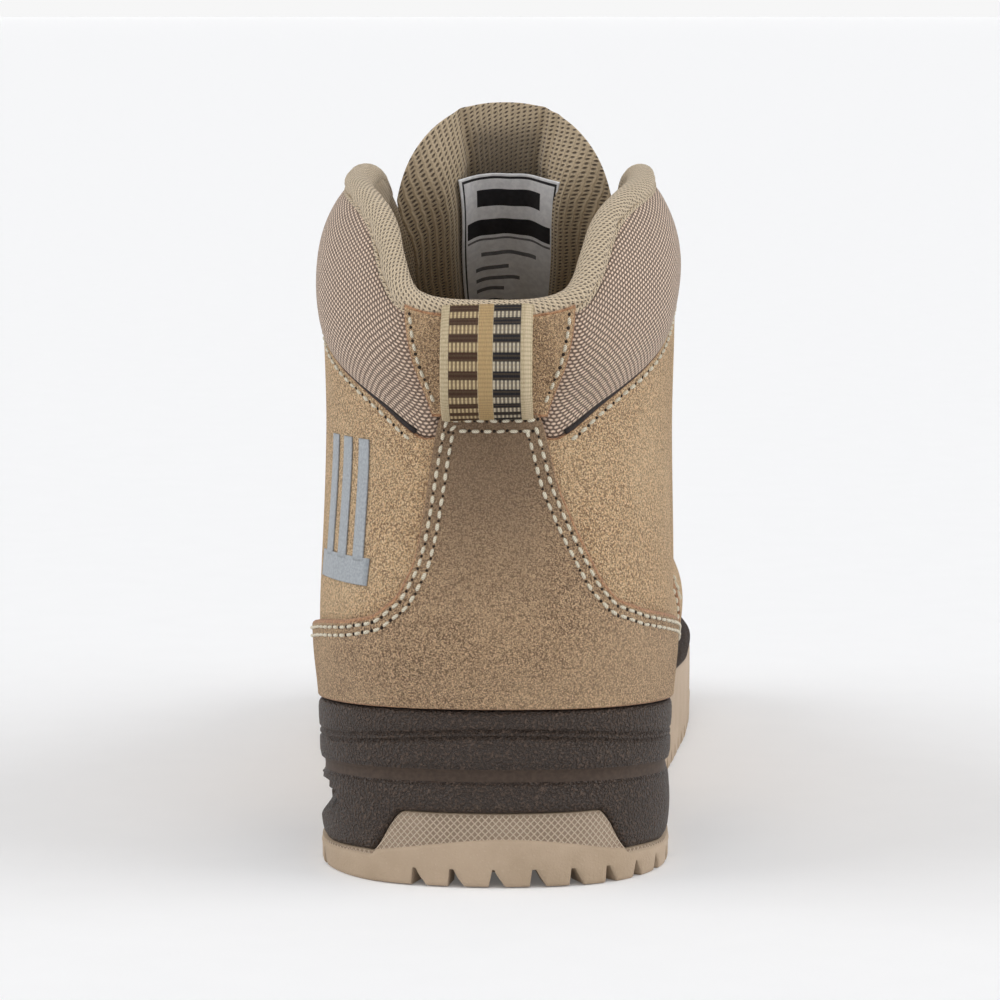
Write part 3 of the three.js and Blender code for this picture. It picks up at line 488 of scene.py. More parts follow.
class Nodes:
    """Short calls for making one material's node tree."""

    def __init__(self, name):
        self.material = bpy.data.materials.new(name)
        self.material.use_nodes = True
        self.tree = self.material.node_tree
        self.shader = next(n for n in self.tree.nodes if n.type == "BSDF_PRINCIPLED")
        coordinates = self.tree.nodes.new("ShaderNodeTexCoord")
        self.place, self.uv = coordinates.outputs["Object"], coordinates.outputs["UV"]

    def feed(self, socket, value):
        if isinstance(value, bpy.types.NodeSocket):
            self.tree.links.new(value, socket)
        elif value is not None:
            socket.default_value = (*value, 1.0) if isinstance(value, tuple) and len(value) == 3 and \
                socket.type == "RGBA" else value

    def new(self, kind, inputs, **settings):
        node = self.tree.nodes.new(kind)
        for key, value in settings.items():
            setattr(node, key, value)
        for key, value in inputs.items():
            self.feed(node.inputs[key], value)
        return node.outputs[0]

    def math(self, operation, a, b=0.0):
        return self.new("ShaderNodeMath", {0: a, 1: b}, operation=operation)

    def noise(self, scale, detail=3.0, rough=0.6, vector=None):
        inputs = {"Vector": vector or self.place, "Scale": scale, "Detail": detail, "Roughness": rough}
        return self.new("ShaderNodeTexNoise", inputs)

    def cells(self, scale):
        return self.new("ShaderNodeTexVoronoi", {"Vector": self.place, "Scale": scale})

    def range(self, value, low, high, to_low=0.0, to_high=1.0):
        inputs = {"Value": value, "From Min": low, "From Max": high, "To Min": to_low, "To Max": to_high}
        return self.new("ShaderNodeMapRange", inputs, interpolation_type="SMOOTHSTEP")

    def mix(self, factor, a, b):
        node = self.tree.nodes.new("ShaderNodeMix")
        node.data_type = "RGBA"
        self.feed(node.inputs[0], factor)
        self.feed(node.inputs[6], a)
        self.feed(node.inputs[7], b)
        return node.outputs[2]

    def split(self, vector):
        node = self.tree.nodes.new("ShaderNodeSeparateXYZ")
        self.feed(node.inputs[0], vector)
        return node.outputs[0], node.outputs[1], node.outputs[2]

    def stripes(self, value, pitch, low, high, to_low=1.0, to_high=0.0):
        """Repeated stripes: from to_low on their middle lines to to_high between them."""
        share = self.math("FRACT", self.math("DIVIDE", value, pitch))
        away = self.math("ABSOLUTE", self.math("SUBTRACT", share, 0.5))
        return self.range(away, low, high, to_low, to_high)

    def lattice(self, pitch_u, pitch_v, slant=0.0, by_column=False):
        """Places inside staggered cells of the UV map, from -0.5 to 0.5 both ways."""
        wobble = self.noise(0.35, 2.0, 0.5, self.uv)
        u, v, _ = self.split(self.uv)
        u = self.math("ADD", u, self.math("MULTIPLY", wobble, 0.7))
        x, y = self.math("DIVIDE", u, pitch_u), self.math("DIVIDE", v, pitch_v)
        if by_column:
            step = self.math("FLOOR", x)
            y = self.math("ADD", y, self.math("MULTIPLY", self.math("MODULO", step, 2.0), 0.5))
        else:
            step = self.math("FLOOR", y)
            x = self.math("ADD", x, self.math("MULTIPLY", self.math("MODULO", step, 2.0), 0.5))
        fx = self.math("SUBTRACT", self.math("FRACT", x), 0.5)
        y = self.math("ADD", y, self.math("MULTIPLY", fx, slant))
        fy = self.math("SUBTRACT", self.math("FRACT", y), 0.5)
        return fx, fy

    def spot(self, fx, fy, rx, ry, soft=0.35):
        """1 inside an oval of the cell, falling to 0 outside it."""
        x2 = self.math("POWER", self.math("ABSOLUTE", self.math("DIVIDE", fx, rx)), 2.0)
        y2 = self.math("POWER", self.math("ABSOLUTE", self.math("DIVIDE", fy, ry)), 2.0)
        return self.range(self.math("ADD", x2, y2), 1 - soft, 1 + soft, 1.0, 0.0)

    def done(self, colour, roughness=0.9, bumps=(), **constants):
        """Sets the shader. bumps are (height, distance in millimetres) pairs, coarse to fine."""
        self.feed(self.shader.inputs["Base Color"], colour)
        self.feed(self.shader.inputs["Roughness"], roughness)
        normal = None
        for height, distance in bumps:
            node = self.tree.nodes.new("ShaderNodeBump")
            self.feed(node.inputs["Height"], height)
            node.inputs["Distance"].default_value = distance * MM
            node.inputs["Strength"].default_value = 1.0
            if normal:
                self.feed(node.inputs["Normal"], normal)
            normal = node.outputs[0]
        if normal:
            self.feed(self.shader.inputs["Normal"], normal)
        for key, value in constants.items():
            self.feed(self.shader.inputs[key.replace("_", " ")], value)
        return self.material


def suede(name, light, middle, dark, shade=None):
    """Split leather: clouded nap over a speckle of light and dark fibres."""
    n = Nodes(name)
    cloud = n.noise(38, 3.0, 0.55)
    speckle = n.noise(1650, 3.0, 0.7)
    grain = n.noise(2900, 2.0, 0.6)
    pits = n.range(n.noise(2100, 1.0, 0.5), 0.36, 0.46, 1.0, 0.0)
    colour = n.mix(n.range(speckle, 0.4, 0.58), dark, middle)
    colour = n.mix(n.range(grain, 0.49, 0.6), colour, light)
    colour = n.mix(pits, colour, dark)
    colour = n.mix(n.range(cloud, 0.35, 0.7, 0.0, 0.22), colour, light)
    # An optional painted shade laid over the suede's colour.
    if shade:
        colour = shade(n, colour)
    height = n.math("ADD", n.math("MULTIPLY", speckle, 0.7), n.math("MULTIPLY", grain, 0.6))
    return n.done(colour, 0.95, [(cloud, 0.4), (height, 1.5)], Sheen_Weight=0.3, Sheen_Roughness=0.6,
                  Sheen_Tint=(0.9, 0.78, 0.62), Specular_IOR_Level=0.2)


def counter_painted_shade(n, colour):
    """Painted shade: darker and greyer up the middle of the counter's back, where the side lights reach
    least.
    """
    x, _, z = n.split(n.place)
    off = n.range(n.math("ABSOLUTE", n.math("SUBTRACT", x, 0.0035)), 0.006, 0.026, 1.0, 0.0)
    high = n.range(z, 0.055, 0.105)
    amount = n.math("MULTIPLY", n.math("MULTIPLY", off, high), 0.7)
    return n.mix(amount, colour, (0.15, 0.092, 0.055))


def raw_edge():
    n = Nodes("cut_edge")
    fuzz = n.noise(1500, 3.0, 0.7)
    colour = n.mix(n.range(fuzz, 0.35, 0.65), (0.2, 0.085, 0.035), (0.5, 0.27, 0.13))
    return n.done(colour, 0.95, [(fuzz, 0.5)], Sheen_Weight=0.2)


def dashed_mesh():
    """Pad cloth: rows of raised dashes, each row half a dash along from the last."""
    n = Nodes("pad_mesh")
    fx, fy = n.lattice(1.45, 0.92)
    dash = n.spot(fx, fy, 0.42, 0.38, 0.7)
    fibre = n.noise(2200, 2.0, 0.6)
    tone = n.noise(30, 2.0, 0.5)
    low = n.mix(tone, (0.17, 0.11, 0.075), (0.23, 0.155, 0.11))
    high = n.mix(fibre, (0.72, 0.52, 0.39), (0.97, 0.76, 0.59))
    colour = n.mix(dash, low, high)
    height = n.math("ADD", dash, n.math("MULTIPLY", fibre, 0.2))
    return n.done(colour, 0.85, [(height, 0.8)], Sheen_Weight=0.15, Sheen_Roughness=0.5)


def fold_painted_shade(n, colour):
    """Painted shade: darker down the middle, where the cloth lies in a fold and the light doesn't reach."""
    x, _, z = n.split(n.place)
    off = n.range(n.math("ABSOLUTE", n.math("SUBTRACT", x, 0.0035)), 0.006, 0.0125, 0.66, 0.0)
    low = n.range(z, 0.176, 0.1845, 1.0, 0.0)
    return n.mix(n.math("MULTIPLY", off, low), colour, (0.05, 0.035, 0.022))


def spacer_mesh(name, thread, shade, slot, fold=None):
    """Lining and tongue cloth: columns of small oblique slots, slanting the other way by turns."""
    n = Nodes(name)
    fx, fy = n.lattice(1.25, 1.05, 0.8, by_column=True)
    hole = n.spot(fx, fy, 0.25, 0.25, 0.75)
    rib = n.range(n.math("ABSOLUTE", fx), 0.3, 0.5)
    fibre = n.noise(2400, 2.0, 0.6)
    colour = n.mix(fibre, shade, thread)
    colour = n.mix(n.math("MULTIPLY", hole, 0.9), colour, slot)
    # fold paints shade into the colour.
    if fold:
        colour = fold(n, colour)
    raised = n.math("ADD", n.math("MULTIPLY", rib, 0.35), n.math("MULTIPLY", fibre, 0.15))
    height = n.math("SUBTRACT", raised, hole)
    return n.done(colour, 0.9, [(height, 0.6)], Sheen_Weight=0.15, Sheen_Roughness=0.5)


def midsole_foam():
    n = Nodes("midsole_skin")
    cells = n.cells(1500)
    fine = n.noise(1500, 3.0, 0.6)
    worn = n.range(n.noise(70, 4.0, 0.65), 0.5, 0.72)
    pebble = n.noise(1500, 1.0, 0.5)
    colour = n.mix(worn, (0.085, 0.053, 0.036), (0.115, 0.075, 0.05))
    colour = n.mix(n.range(pebble, 0.38, 0.6), (0.04, 0.024, 0.016), colour)
    rough = n.range(fine, 0.3, 0.7, 0.42, 0.62)
    bubbles = n.math("MULTIPLY", n.range(cells, 0.0, 0.7, 1.0, 0.0), 0.5)
    height = n.math("ADD", n.range(pebble, 0.35, 0.65), bubbles)
    return n.done(colour, rough, [(height, 1.2)], Specular_IOR_Level=0.5)


def sole_rubber():
    """Tan rubber with a faint stipple and wear."""
    n = Nodes("sole_rubber")
    stipple = n.noise(1800, 2.0, 0.6)
    cloud = n.noise(45, 4.0, 0.6)
    colour = n.mix(n.range(cloud, 0.3, 0.7), (0.4, 0.3, 0.205), (0.48, 0.365, 0.26))
    colour = n.mix(n.range(stipple, 0.6, 0.75, 0.0, 0.3), colour, (0.6, 0.48, 0.36))
    return n.done(colour, 0.62, [(stipple, 0.16)], Specular_IOR_Level=0.35)


def grid_rubber():
    """The same rubber with a fine raised diamond grid, painted darker between its lines (painted shade) and
    lighter on its raised lines (painted highlight).
    """
    n = Nodes("grid_rubber")
    u, v, _ = n.split(n.uv)
    pitch = 1.75
    lines = [n.stripes(n.math(way, u, v), pitch, 0.3, 0.44, 0.0, 1.0) for way in ("ADD", "SUBTRACT")]
    raised = n.math("MAXIMUM", *lines)
    cloud = n.noise(60, 3.0, 0.6)
    # Painted shade: the squares between the lines are darker than the sole's rubber.
    colour = n.mix(n.range(cloud, 0.3, 0.7), (0.26, 0.19, 0.13), (0.33, 0.245, 0.175))
    # Painted highlight: the raised lines are lighter.
    colour = n.mix(raised, colour, (0.56, 0.45, 0.34))
    return n.done(colour, 0.6, [(raised, 0.3)], Specular_IOR_Level=0.35)


def thread(name, light, dark):
    """Twisted yarn: slanted plies across a stitch, from UVs in millimetres."""
    n = Nodes(name)
    u, v, _ = n.split(n.uv)
    ridge = n.stripes(n.math("ADD", u, n.math("MULTIPLY", v, 0.8)), 0.55, 0.1, 0.5)
    colour = n.mix(ridge, dark, light)
    return n.done(colour, 0.7, [(ridge, 0.12)], Sheen_Weight=0.2)


def braid(name, light, dark, fleck):
    """Round lace: two sets of plies crossing, with flecks of a second yarn."""
    n = Nodes(name)
    u, v, _ = n.split(n.uv)
    weave = [n.stripes(n.math(way, u, v), 1.5, 0.08, 0.45) for way in ("ADD", "SUBTRACT")]
    bump = n.math("MAXIMUM", *weave)
    colour = n.mix(bump, dark, light)
    flecks = n.range(n.noise(0.9, 1.0, 0.5, n.uv), 0.6, 0.64)
    colour = n.mix(flecks, colour, fleck)
    return n.done(colour, 0.85, [(bump, 0.25)], Sheen_Weight=0.2)


RIB_PITCH = 1.05


def pull_webbing():
    """Striped webbing: plain cream edges, a column of brown dashes and one of near-black dashes."""
    strap_length, dash_rows = 37.0, 9.0
    n = Nodes("pull_webbing")
    u, v, _ = n.split(n.uv)
    rows = n.math("MULTIPLY", n.math("POWER", n.math("DIVIDE", v, strap_length), 0.85), dash_rows)
    dash = n.stripes(rows, 1.0, 0.2, 0.3)
    ridge = n.stripes(u, 0.42, 0.1, 0.5)
    stroke = n.stripes(u, 0.95, 0.2, 0.36, 0.75, 0.0)
    # Painted shade in the grooves between the woven ribs.
    rib_groove_shade = n.stripes(v, RIB_PITCH, 0.1, 0.5, 0.0, 0.3)
    fibre = n.noise(1.6, 2.0, 0.6, n.uv)

    def column(low, high):
        """1 between two lines along the strap."""
        past_low = n.range(u, low - 0.12, low + 0.12)
        return n.math("MULTIPLY", past_low, n.range(u, high - 0.12, high + 0.12, 1.0, 0.0))

    colour = n.mix(fibre, (0.42, 0.32, 0.18), (0.7, 0.59, 0.4))
    brown = n.mix(dash, n.mix(stroke, (0.62, 0.48, 0.27), (0.09, 0.05, 0.025)), (0.05, 0.02, 0.008))
    colour = n.mix(column(-9.0, -2.0), colour, brown)
    colour = n.mix(column(-1.9, 1.5), colour, (0.47, 0.32, 0.15))
    navy = n.mix(dash, n.mix(stroke, (0.6, 0.52, 0.38), (0.03, 0.025, 0.03)), (0.006, 0.005, 0.008))
    colour = n.mix(column(1.6, 8.2), colour, navy)
    colour = n.mix(column(9.2, 10.6), colour, (0.66, 0.54, 0.36))
    # The ribs' grooves darkened with painted shade.
    colour = n.mix(rib_groove_shade, colour, (0.16, 0.11, 0.06))
    return n.done(colour, 0.6, [(ridge, 0.12), (fibre, 0.12)], Specular_IOR_Level=0.25)


def webbing(name, light, dark):
    n = Nodes(name)
    fx, fy = n.lattice(0.9, 0.8)
    knot = n.spot(fx, fy, 0.46, 0.42, 0.7)
    colour = n.mix(knot, dark, light)
    return n.done(colour, 0.8, [(knot, 0.2)], Sheen_Weight=0.2)


def plain(name, light, dark, rough, bump, scale=900, **constants):
    """A surface with a fine mottle, for parts whose texture is only grain."""
    n = Nodes(name)
    grain = n.noise(scale, 3.0, 0.6)
    colour = n.mix(n.range(grain, 0.3, 0.7), dark, light)
    return n.done(colour, rough, [(grain, bump)], **constants)


def brushed(name, colour, rough, scuff):
    n = Nodes(name)
    wear = n.noise(240, 4.0, 0.65)
    fine = n.noise(1800, 2.0, 0.6)
    tone = n.mix(n.range(wear, 0.35, 0.7), colour, scuff)
    return n.done(tone, n.range(wear, 0.3, 0.7, rough, rough + 0.2), [(fine, 0.02)], Metallic=1.0)


TAN_LIGHT, TAN, TAN_DARK = (0.97, 0.73, 0.45), (0.76, 0.49, 0.26), (0.25, 0.13, 0.06)
M = {
    "tan": suede("tan_suede", TAN_LIGHT, TAN, TAN_DARK),
    # The counter's suede, with painted shade up the middle of its back.
    "brown": suede("counter_suede", (0.79, 0.55, 0.33), (0.51, 0.325, 0.185), (0.165, 0.092, 0.048), counter_painted_shade),
    "back": suede("backstay_suede_nap", (0.86, 0.6, 0.35), (0.6, 0.375, 0.2), (0.18, 0.095, 0.048)),
    "stay": suede("stay_suede", (0.5, 0.35, 0.22), (0.34, 0.22, 0.135), (0.14, 0.082, 0.046)),
    "edge": raw_edge(),
    "pad": dashed_mesh(),
    "lining": spacer_mesh("lining_mesh", (0.7, 0.56, 0.38), (0.4, 0.305, 0.2), (0.1, 0.07, 0.045)),
    # The tongue's cloth, with painted shade down its middle fold.
    "flap": spacer_mesh("tongue_mesh", (0.7, 0.56, 0.38), (0.4, 0.305, 0.2), (0.1, 0.07, 0.045), fold_painted_shade),
    # The lining's knit where it rolls over the collar, painted lighter than the same knit inside: painted
    # light on the roll's top.
    "roll": spacer_mesh("roll_mesh_painted_light", (0.8, 0.65, 0.46), (0.46, 0.36, 0.24), (0.13, 0.095, 0.06)),
    "midsole": midsole_foam(),
    "band": plain("smooth_band", (0.075, 0.05, 0.036), (0.052, 0.034, 0.024), 0.65, 0.05,
                  Specular_IOR_Level=0.3),
    # Near-black painted shade for the inside of the midsole's flank hollows.
    "hollow": plain("hollow_foam", (0.02, 0.016, 0.014), (0.01, 0.008, 0.007), 0.7, 0.1),
    "rubber": sole_rubber(),
    "grid": grid_rubber(),
    "thread": thread("cream_thread", (0.86, 0.79, 0.63), (0.5, 0.43, 0.31)),
    # Near-black painted shade for the needle holes.
    "hole": plain("needle_hole_shade", (0.03, 0.018, 0.01), (0.012, 0.008, 0.005), 0.95, 0.1),
    "trim": plain("dark_binding", (0.035, 0.026, 0.024), (0.016, 0.012, 0.011), 0.85, 0.2, 1400),
    "pull": pull_webbing(),
    "webbing": webbing("hold_webbing", (0.3, 0.215, 0.13), (0.12, 0.08, 0.045)),
    "lace": braid("lace_braid", (0.36, 0.26, 0.165), (0.14, 0.095, 0.055), (0.06, 0.04, 0.025)),
    "label": plain("label_satin", (0.86, 0.86, 0.87), (0.72, 0.72, 0.74), 0.38, 0.05, 700, Sheen_Weight=0.2),
    "ink": plain("label_ink", (0.022, 0.022, 0.026), (0.012, 0.012, 0.015), 0.5, 0.03),
    "faint": plain("label_grey", (0.2, 0.2, 0.21), (0.14, 0.14, 0.15), 0.5, 0.03),
    "mark": plain("mark_print", (0.36, 0.385, 0.405), (0.26, 0.28, 0.3), 0.5, 0.12, 1600),
    "steel": brushed("cap_steel", (0.5, 0.5, 0.49), 0.32, (0.36, 0.35, 0.34)),
    "hook": brushed("hook_steel", (0.14, 0.13, 0.12), 0.3, (0.3, 0.28, 0.25)),
    "board": plain("insole_fibre", (0.5, 0.38, 0.24), (0.36, 0.26, 0.16), 0.95, 0.15, 500),
    "plastic": plain("stiffener_plastic", (0.04, 0.038, 0.036), (0.025, 0.024, 0.023), 0.5, 0.03),
    "foam": plain("edge_foam", (0.11, 0.1, 0.09), (0.06, 0.055, 0.05), 0.95, 0.25, 1100),
    "tip": plain("lace_tip", (0.05, 0.04, 0.032), (0.03, 0.024, 0.02), 0.35, 0.02),
}

# ---------------------------------------------------------------- camera
# From straight behind, a little above, with a long lens.
camera = bpy.data.objects.new("camera", bpy.data.cameras.new("camera"))
bpy.context.scene.collection.objects.link(camera)
camera.data.lens, camera.data.sensor_width = 151.73, 36
camera.location = Vector((46.4, -1146.2, 212.8)) * MM
PITCH, YAW = math.radians(6.748), math.radians(2.3)
camera.rotation_euler = (math.radians(90) - PITCH, 0, YAW)
bpy.context.scene.camera = camera

# ---------------------------------------------------------------- stitching
STITCH = {"pitch": 3.05, "long": 1.0, "thick": 0.42}
# Each needle hole is a small dark double cone: painted shade for the hole's shadow.
HOLE = {"radius": 0.68, "rise": 0.14, "edge": -0.12, "deep": -0.5, "sides": 8}


def border(place_line, depth, step=0.4):
    """Places (s, t) along a line on the upper at even distances."""
    st = np.array(place_line, float)
    fine = np.stack([np.interp(np.linspace(0, len(st) - 1, 4000), np.arange(len(st)), st[:, k])
                     for k in (0, 1)], axis=1)
    travelled = arc_lengths(raw_upper(fine[:, 0], fine[:, 1], depth))
    wanted = np.arange(0, travelled[-1], step)
    return np.stack([np.interp(wanted, travelled, fine[:, k]) for k in (0, 1)], axis=1)


def inset(line, distance, side=1):
    """A line of (s, t) moved sideways over the surface, to its right, or left with side -1."""
    st = border(line, 0)
    e = 0.01
    s, t = st.T
    ls = np.linalg.norm(raw_point(s + e, t) - raw_point(s - e, t), axis=1) / (2 * e)
    lt = np.linalg.norm(raw_point(s, t + e) - raw_point(s, t - e), axis=1) / (2 * e)
    way = np.gradient(st, axis=0) * np.stack([ls, lt], axis=1)
    window = 9
    way = np.stack([np.convolve(np.pad(way[:, k], window // 2, "edge"), np.ones(window) / window, "valid")
                    for k in (0, 1)], axis=1)
    way = unit(way)
    moved = st + side * distance * np.stack([way[:, 1] / ls, -way[:, 0] / lt], axis=1)
    edge_points = raw_point(s, t)
    own = raw_point(moved[:, 0], moved[:, 1])
    nearest = np.array([np.min(np.linalg.norm(edge_points - p, axis=1)) for p in own])
    return moved[nearest > 0.9 * distance]


def stitch_row(soup, points, outward, pitch=STITCH["pitch"]):
    """Adds a row of stitches, each a short sunk-ended capsule between two needle holes; each hole is a small
    dark double cone of painted shade.
    """
    travelled = arc_lengths(points)
    count = max(1, int(travelled[-1] / pitch))
    rings, sides = 7, 7
    x = np.linspace(-1, 1, rings)
    angles = np.linspace(0, 2 * np.pi, sides, endpoint=False)
    hole_angles = np.linspace(0, 2 * np.pi, HOLE["sides"], endpoint=False)
    hole_faces = []
    for a in range(HOLE["sides"]):
        b = (a + 1) % HOLE["sides"]
        hole_faces.append([0, 1 + b, 1 + a])
        hole_faces.append([HOLE["sides"] + 1, 1 + a, 1 + b])

    def at(distance, rows):
        return np.array([np.interp(distance, travelled, rows[:, axis]) for axis in range(3)])

    for k in range(count):
        middle = (k + 0.5) * travelled[-1] / count + rng.normal(0, 0.05)
        here = at(middle, points)
        ahead = at(middle + 0.5, points) - at(middle - 0.5, points)
        normal = at(middle, outward)
        ahead = unit(ahead)
        normal = unit(normal - ahead * normal.dot(ahead))
        side = np.cross(ahead, normal)
        ahead = unit(ahead + side * rng.normal(0, 0.05))
        thick = STITCH["thick"] * rng.uniform(0.9, 1.1)
        radius = thick * np.sqrt(np.clip(1 - np.abs(x) ** 3.2, 0, 1)) + 0.02
        lift = (0.34 - 0.5 * x ** 4) * thick
        centre = here + x[:, None] * STITCH["long"] * ahead + lift[:, None] * normal
        ring = centre[:, None] + radius[:, None, None] * (
            np.cos(angles)[None, :, None] * side + np.sin(angles)[None, :, None] * normal)
        uv = np.stack(np.broadcast_arrays((x * STITCH["long"])[:, None], (angles * thick)[None]), axis=-1)
        faces = grid_faces(rings, sides).tolist()
        wrap = [[i * sides + sides - 1, (i + 1) * sides + sides - 1, (i + 1) * sides, i * sides]
                for i in range(rings - 1)]
        ends = [list(range(sides))[::-1], [(rings - 1) * sides + a for a in range(sides)]]
        soup.add(ring.reshape(-1, 3), [*faces, *wrap, *ends], 0, uv)
        gap = here + ahead * (travelled[-1] / count / 2)
        round_hole = np.cos(hole_angles)[:, None] * ahead + np.sin(hole_angles)[:, None] * side
        rim = gap + normal * HOLE["edge"] + HOLE["radius"] * round_hole
        dome, under = gap + normal * HOLE["rise"], gap + normal * HOLE["deep"]
        soup.add(np.vstack([[dome], rim, [under]]), hole_faces, 1)


def rows_of_stitches(name, rows):
    """One object of several rows on the upper. Each row is (line of places, depth)."""
    soup = Soup()
    for line, depth in rows:
        s, t = border(line, depth).T
        points = upper(s, t, depth)
        stitch_row(soup, points, unit(upper(s, t, depth + 1) - points))
    show(soup.make(name, [M["thread"], M["hole"]]), None)


# ---------------------------------------------------------------- the upper's seams
pad_seam = steps((0, 0.57), (0.4, 0.53), (0.6, 0.505), (0.78, 0.52), (1.15, 0.58), (1.5, 0.62),
                 (2, 0.655), (3, 0.695), (3.6, 0.727), (4.35, 0.8), soften=0.12)
quarter_foot = steps((0.12, 0.52), (0.4, 0.44), (0.6, 0.28), (0.9, 0.22), (2, 0.18), (3, 0.14), (4.2, 0.1),
                     (5.1, 0), (6.2, 0), (6.9, 0.3), (7.6, 0.66), (8.1, 0.84), soften=0.1)
quarter_throat = steps((4.3, 0), (4.42, 0.968), (8.1, 0.968))
COUNTER_SIDES = (
    steps((0, 0.575), (0.46, 0.575), (0.54, 0.5), (0.57, 0.43), (0.63, 0.35), (0.78, 0.3), (1, 0.27),
          (1.35, 0.256), (1.9, 0.242), (3, 0.2), (4.2, 0.15), (5.1, 0.02), soften=0.035),
    steps((0, 0.575), (0.47, 0.575), (0.55, 0.51), (0.63, 0.44), (0.78, 0.385), (1, 0.32), (1.15, 0.295),
          (1.5, 0.274), (2.2, 0.245), (3, 0.205), (4.2, 0.155), (5.1, 0.02), soften=0.035),
)
eyestay_foot = steps((4.4, 0.8), (5, 0.72), (6, 0.7), (7, 0.72), (7.7, 0.8), (8.05, 0.9), soften=0.12)
wing = through(0, 0.36, 0.62, 0.84, 0.9, 0.9, 0.9, 0.84, 0.62, 0.36, 0)
SIDES = (("lateral", -1), ("medial", 1))


def counter_top(s):
    """The counter's top edge: straight at the back, steeply down beside it, then flared forwards."""
    outer, inner = COUNTER_SIDES
    return np.where(s < 0, outer(np.abs(s)), inner(np.abs(s)))


def toe_edge(s):
    return 0.2 + 0.74 * wing((s - 6.9) / 6.2)


def backstay_half(t):
    """Half the backstay's width, as a share of a station: wider towards the collar."""
    return np.interp(t, [0.57, 1.0], [0.56, 0.96])


# ---------------------------------------------------------------- quarters, counter and backstay
def quarter_top(s):
    away = from_back(s)
    return np.maximum(pad_seam(away), quarter_throat(away))


for side, way in SIDES:
    ends = (0.12, 8.1) if way > 0 else (-8.1, -0.12)
    place = between(*ends, lambda s: quarter_foot(from_back(s)), quarter_top)
    piece = panel(f"quarter_{side}_suede", place, 0, -LEATHER, [M["tan"], M["edge"]])
    show(piece, f"quarter_{side}")

place = between(-5.1, 5.1, lambda s: 0.0 * s, counter_top)
show(panel("heel_counter_suede", place, OVERLAY, 0.4, [M["brown"], M["edge"]]), "heel_counter")


def backstay_place(u, v):
    top = t_below(0.0, 3.4)
    t = lerp(0.56, top, v)
    return (2 * u - 1) * backstay_half(t), t


show(panel("backstay_suede", backstay_place, OVERLAY - 0.15, GAP - 0.6, [M["back"], M["edge"]]), "backstay")

around_counter = np.linspace(-5.0, 5.0, 2000)
counter_line = np.stack([around_counter, counter_top(around_counter)], axis=1)
rows = [(inset(counter_line, d), OVERLAY) for d in (1.9, 4.1)]
for way in (-1, 1):
    t = np.linspace(0.59, t_below(0.0, 5.0), 60)
    edge_line = np.stack([way * backstay_half(t), t], axis=1)
    rows.append((inset(edge_line, 1.7, -way), OVERLAY - 0.15))
rows_of_stitches("heel_stitching", rows)

for side, way in SIDES:
    away = np.linspace(0.75, 4.2, 200)
    seam = np.stack([way * away, pad_seam(away)], axis=1)
    rows = [(inset(seam, 1.9, way), 0.0)]
    rows_of_stitches(f"pad_seam_stitching_{side}", rows)
    soup = Soup()
    line = border(np.stack([way * away, pad_seam(away) + 0.004], axis=1), 0, 1.5)
    tube(soup, upper(line[:, 0], line[:, 1], -0.3), 0.62, 8)
    show(soup.make(f"pad_binding_{side}", [M["trim"]]), None)

# ---------------------------------------------------------------- padded collar
ROLL = {"high": 3.1, "thick": 3.7, "depth": 2.7}
COLLAR_END = 4.35


def collar_pad(side, way):
    """A swollen panel of mesh between the backstay, the seam and the collar's roll."""
    def place(u, v):
        share = u if way > 0 else 1 - u
        middle = lerp(0.49, 4.28, share)
        bottom = pad_seam(middle) - 0.006
        t = lerp(bottom, t_below(middle, 4.6), v)
        near = backstay_half(t) - 0.07
        s = lerp(near, 4.28, share)
        return way * s, t

    u = np.linspace(0, 1, 61)
    v = np.linspace(0, 1, 25)
    ease = lambda x: 0.5 - 0.5 * np.cos(np.pi * np.clip(x, 0, 1))
    u, v = lerp(u, ease(u), 0.35), lerp(v, ease(v), 0.35)
    u, v = np.meshgrid(u, v, indexing="ij")
    s, t = place(u, v)
    swell = 4.3 * (np.sin(np.pi * np.clip(u, 0, 1)) * np.sin(np.pi * v)) ** 0.42 - 1.3
    outer = upper(s, t, swell)
    inner = upper(s, t, np.full(u.shape, -LINING_DEPTH + 3.2))
    return slab(f"collar_pad_{side}_mesh", outer, inner, lengths_uv(raw_upper(s, t)), [M["pad"]], rim_rows=0)


def puff(obj, pressure, cap):
    """Blows a closed cloth up a little by simulation, with its border pinned, and keeps the result."""
    mesh = obj.data
    before = np.zeros(len(mesh.vertices) * 3)
    mesh.vertices.foreach_get("co", before)
    before = before.reshape(-1, 3)
    half = len(before) // 2
    shell = np.linalg.norm(before[:half] - before[half:], axis=1)
    pinned = obj.vertex_groups.new(name="pinned")
    pinned.add([int(k) for k in np.arange(half, 2 * half)], 1.0, "REPLACE")
    low = [int(k) for k in np.flatnonzero(shell < np.percentile(shell, 16))]
    pinned.add(low, 1.0, "REPLACE")
    cloth = obj.modifiers.new("cloth", "CLOTH")
    cloth.settings.use_pressure = True
    cloth.settings.uniform_pressure_force = pressure
    cloth.settings.effector_weights.gravity = 0
    cloth.settings.vertex_group_mass = "pinned"
    cloth.settings.quality = 6
    cloth.point_cache.frame_start, cloth.point_cache.frame_end = 1, 20
    scene = bpy.context.scene
    for number in range(1, 21):
        scene.frame_set(number)
    after = np.zeros(len(before) * 3)
    obj.evaluated_get(bpy.context.evaluated_depsgraph_get()).data.vertices.foreach_get("co", after)
    obj.modifiers.remove(cloth)
    obj.vertex_groups.clear()
    scene.frame_set(1)
    move = after.reshape(-1, 3) - before
    far = np.linalg.norm(move, axis=1, keepdims=True)
    move *= np.minimum(1, cap * MM / np.maximum(far, 1e-9))
    mesh.vertices.foreach_set("co", (before + move).ravel())
    mesh.update()
    return obj


def subdivided(obj, levels=1):
    modifier = obj.modifiers.new("subdivision", "SUBSURF")
    modifier.levels = modifier.render_levels = levels
    return obj


for side, way in SIDES:
    pad = subdivided(puff(collar_pad(side, way), 4.0, 1.4))
    show(pad, f"collar_pad_{side}")


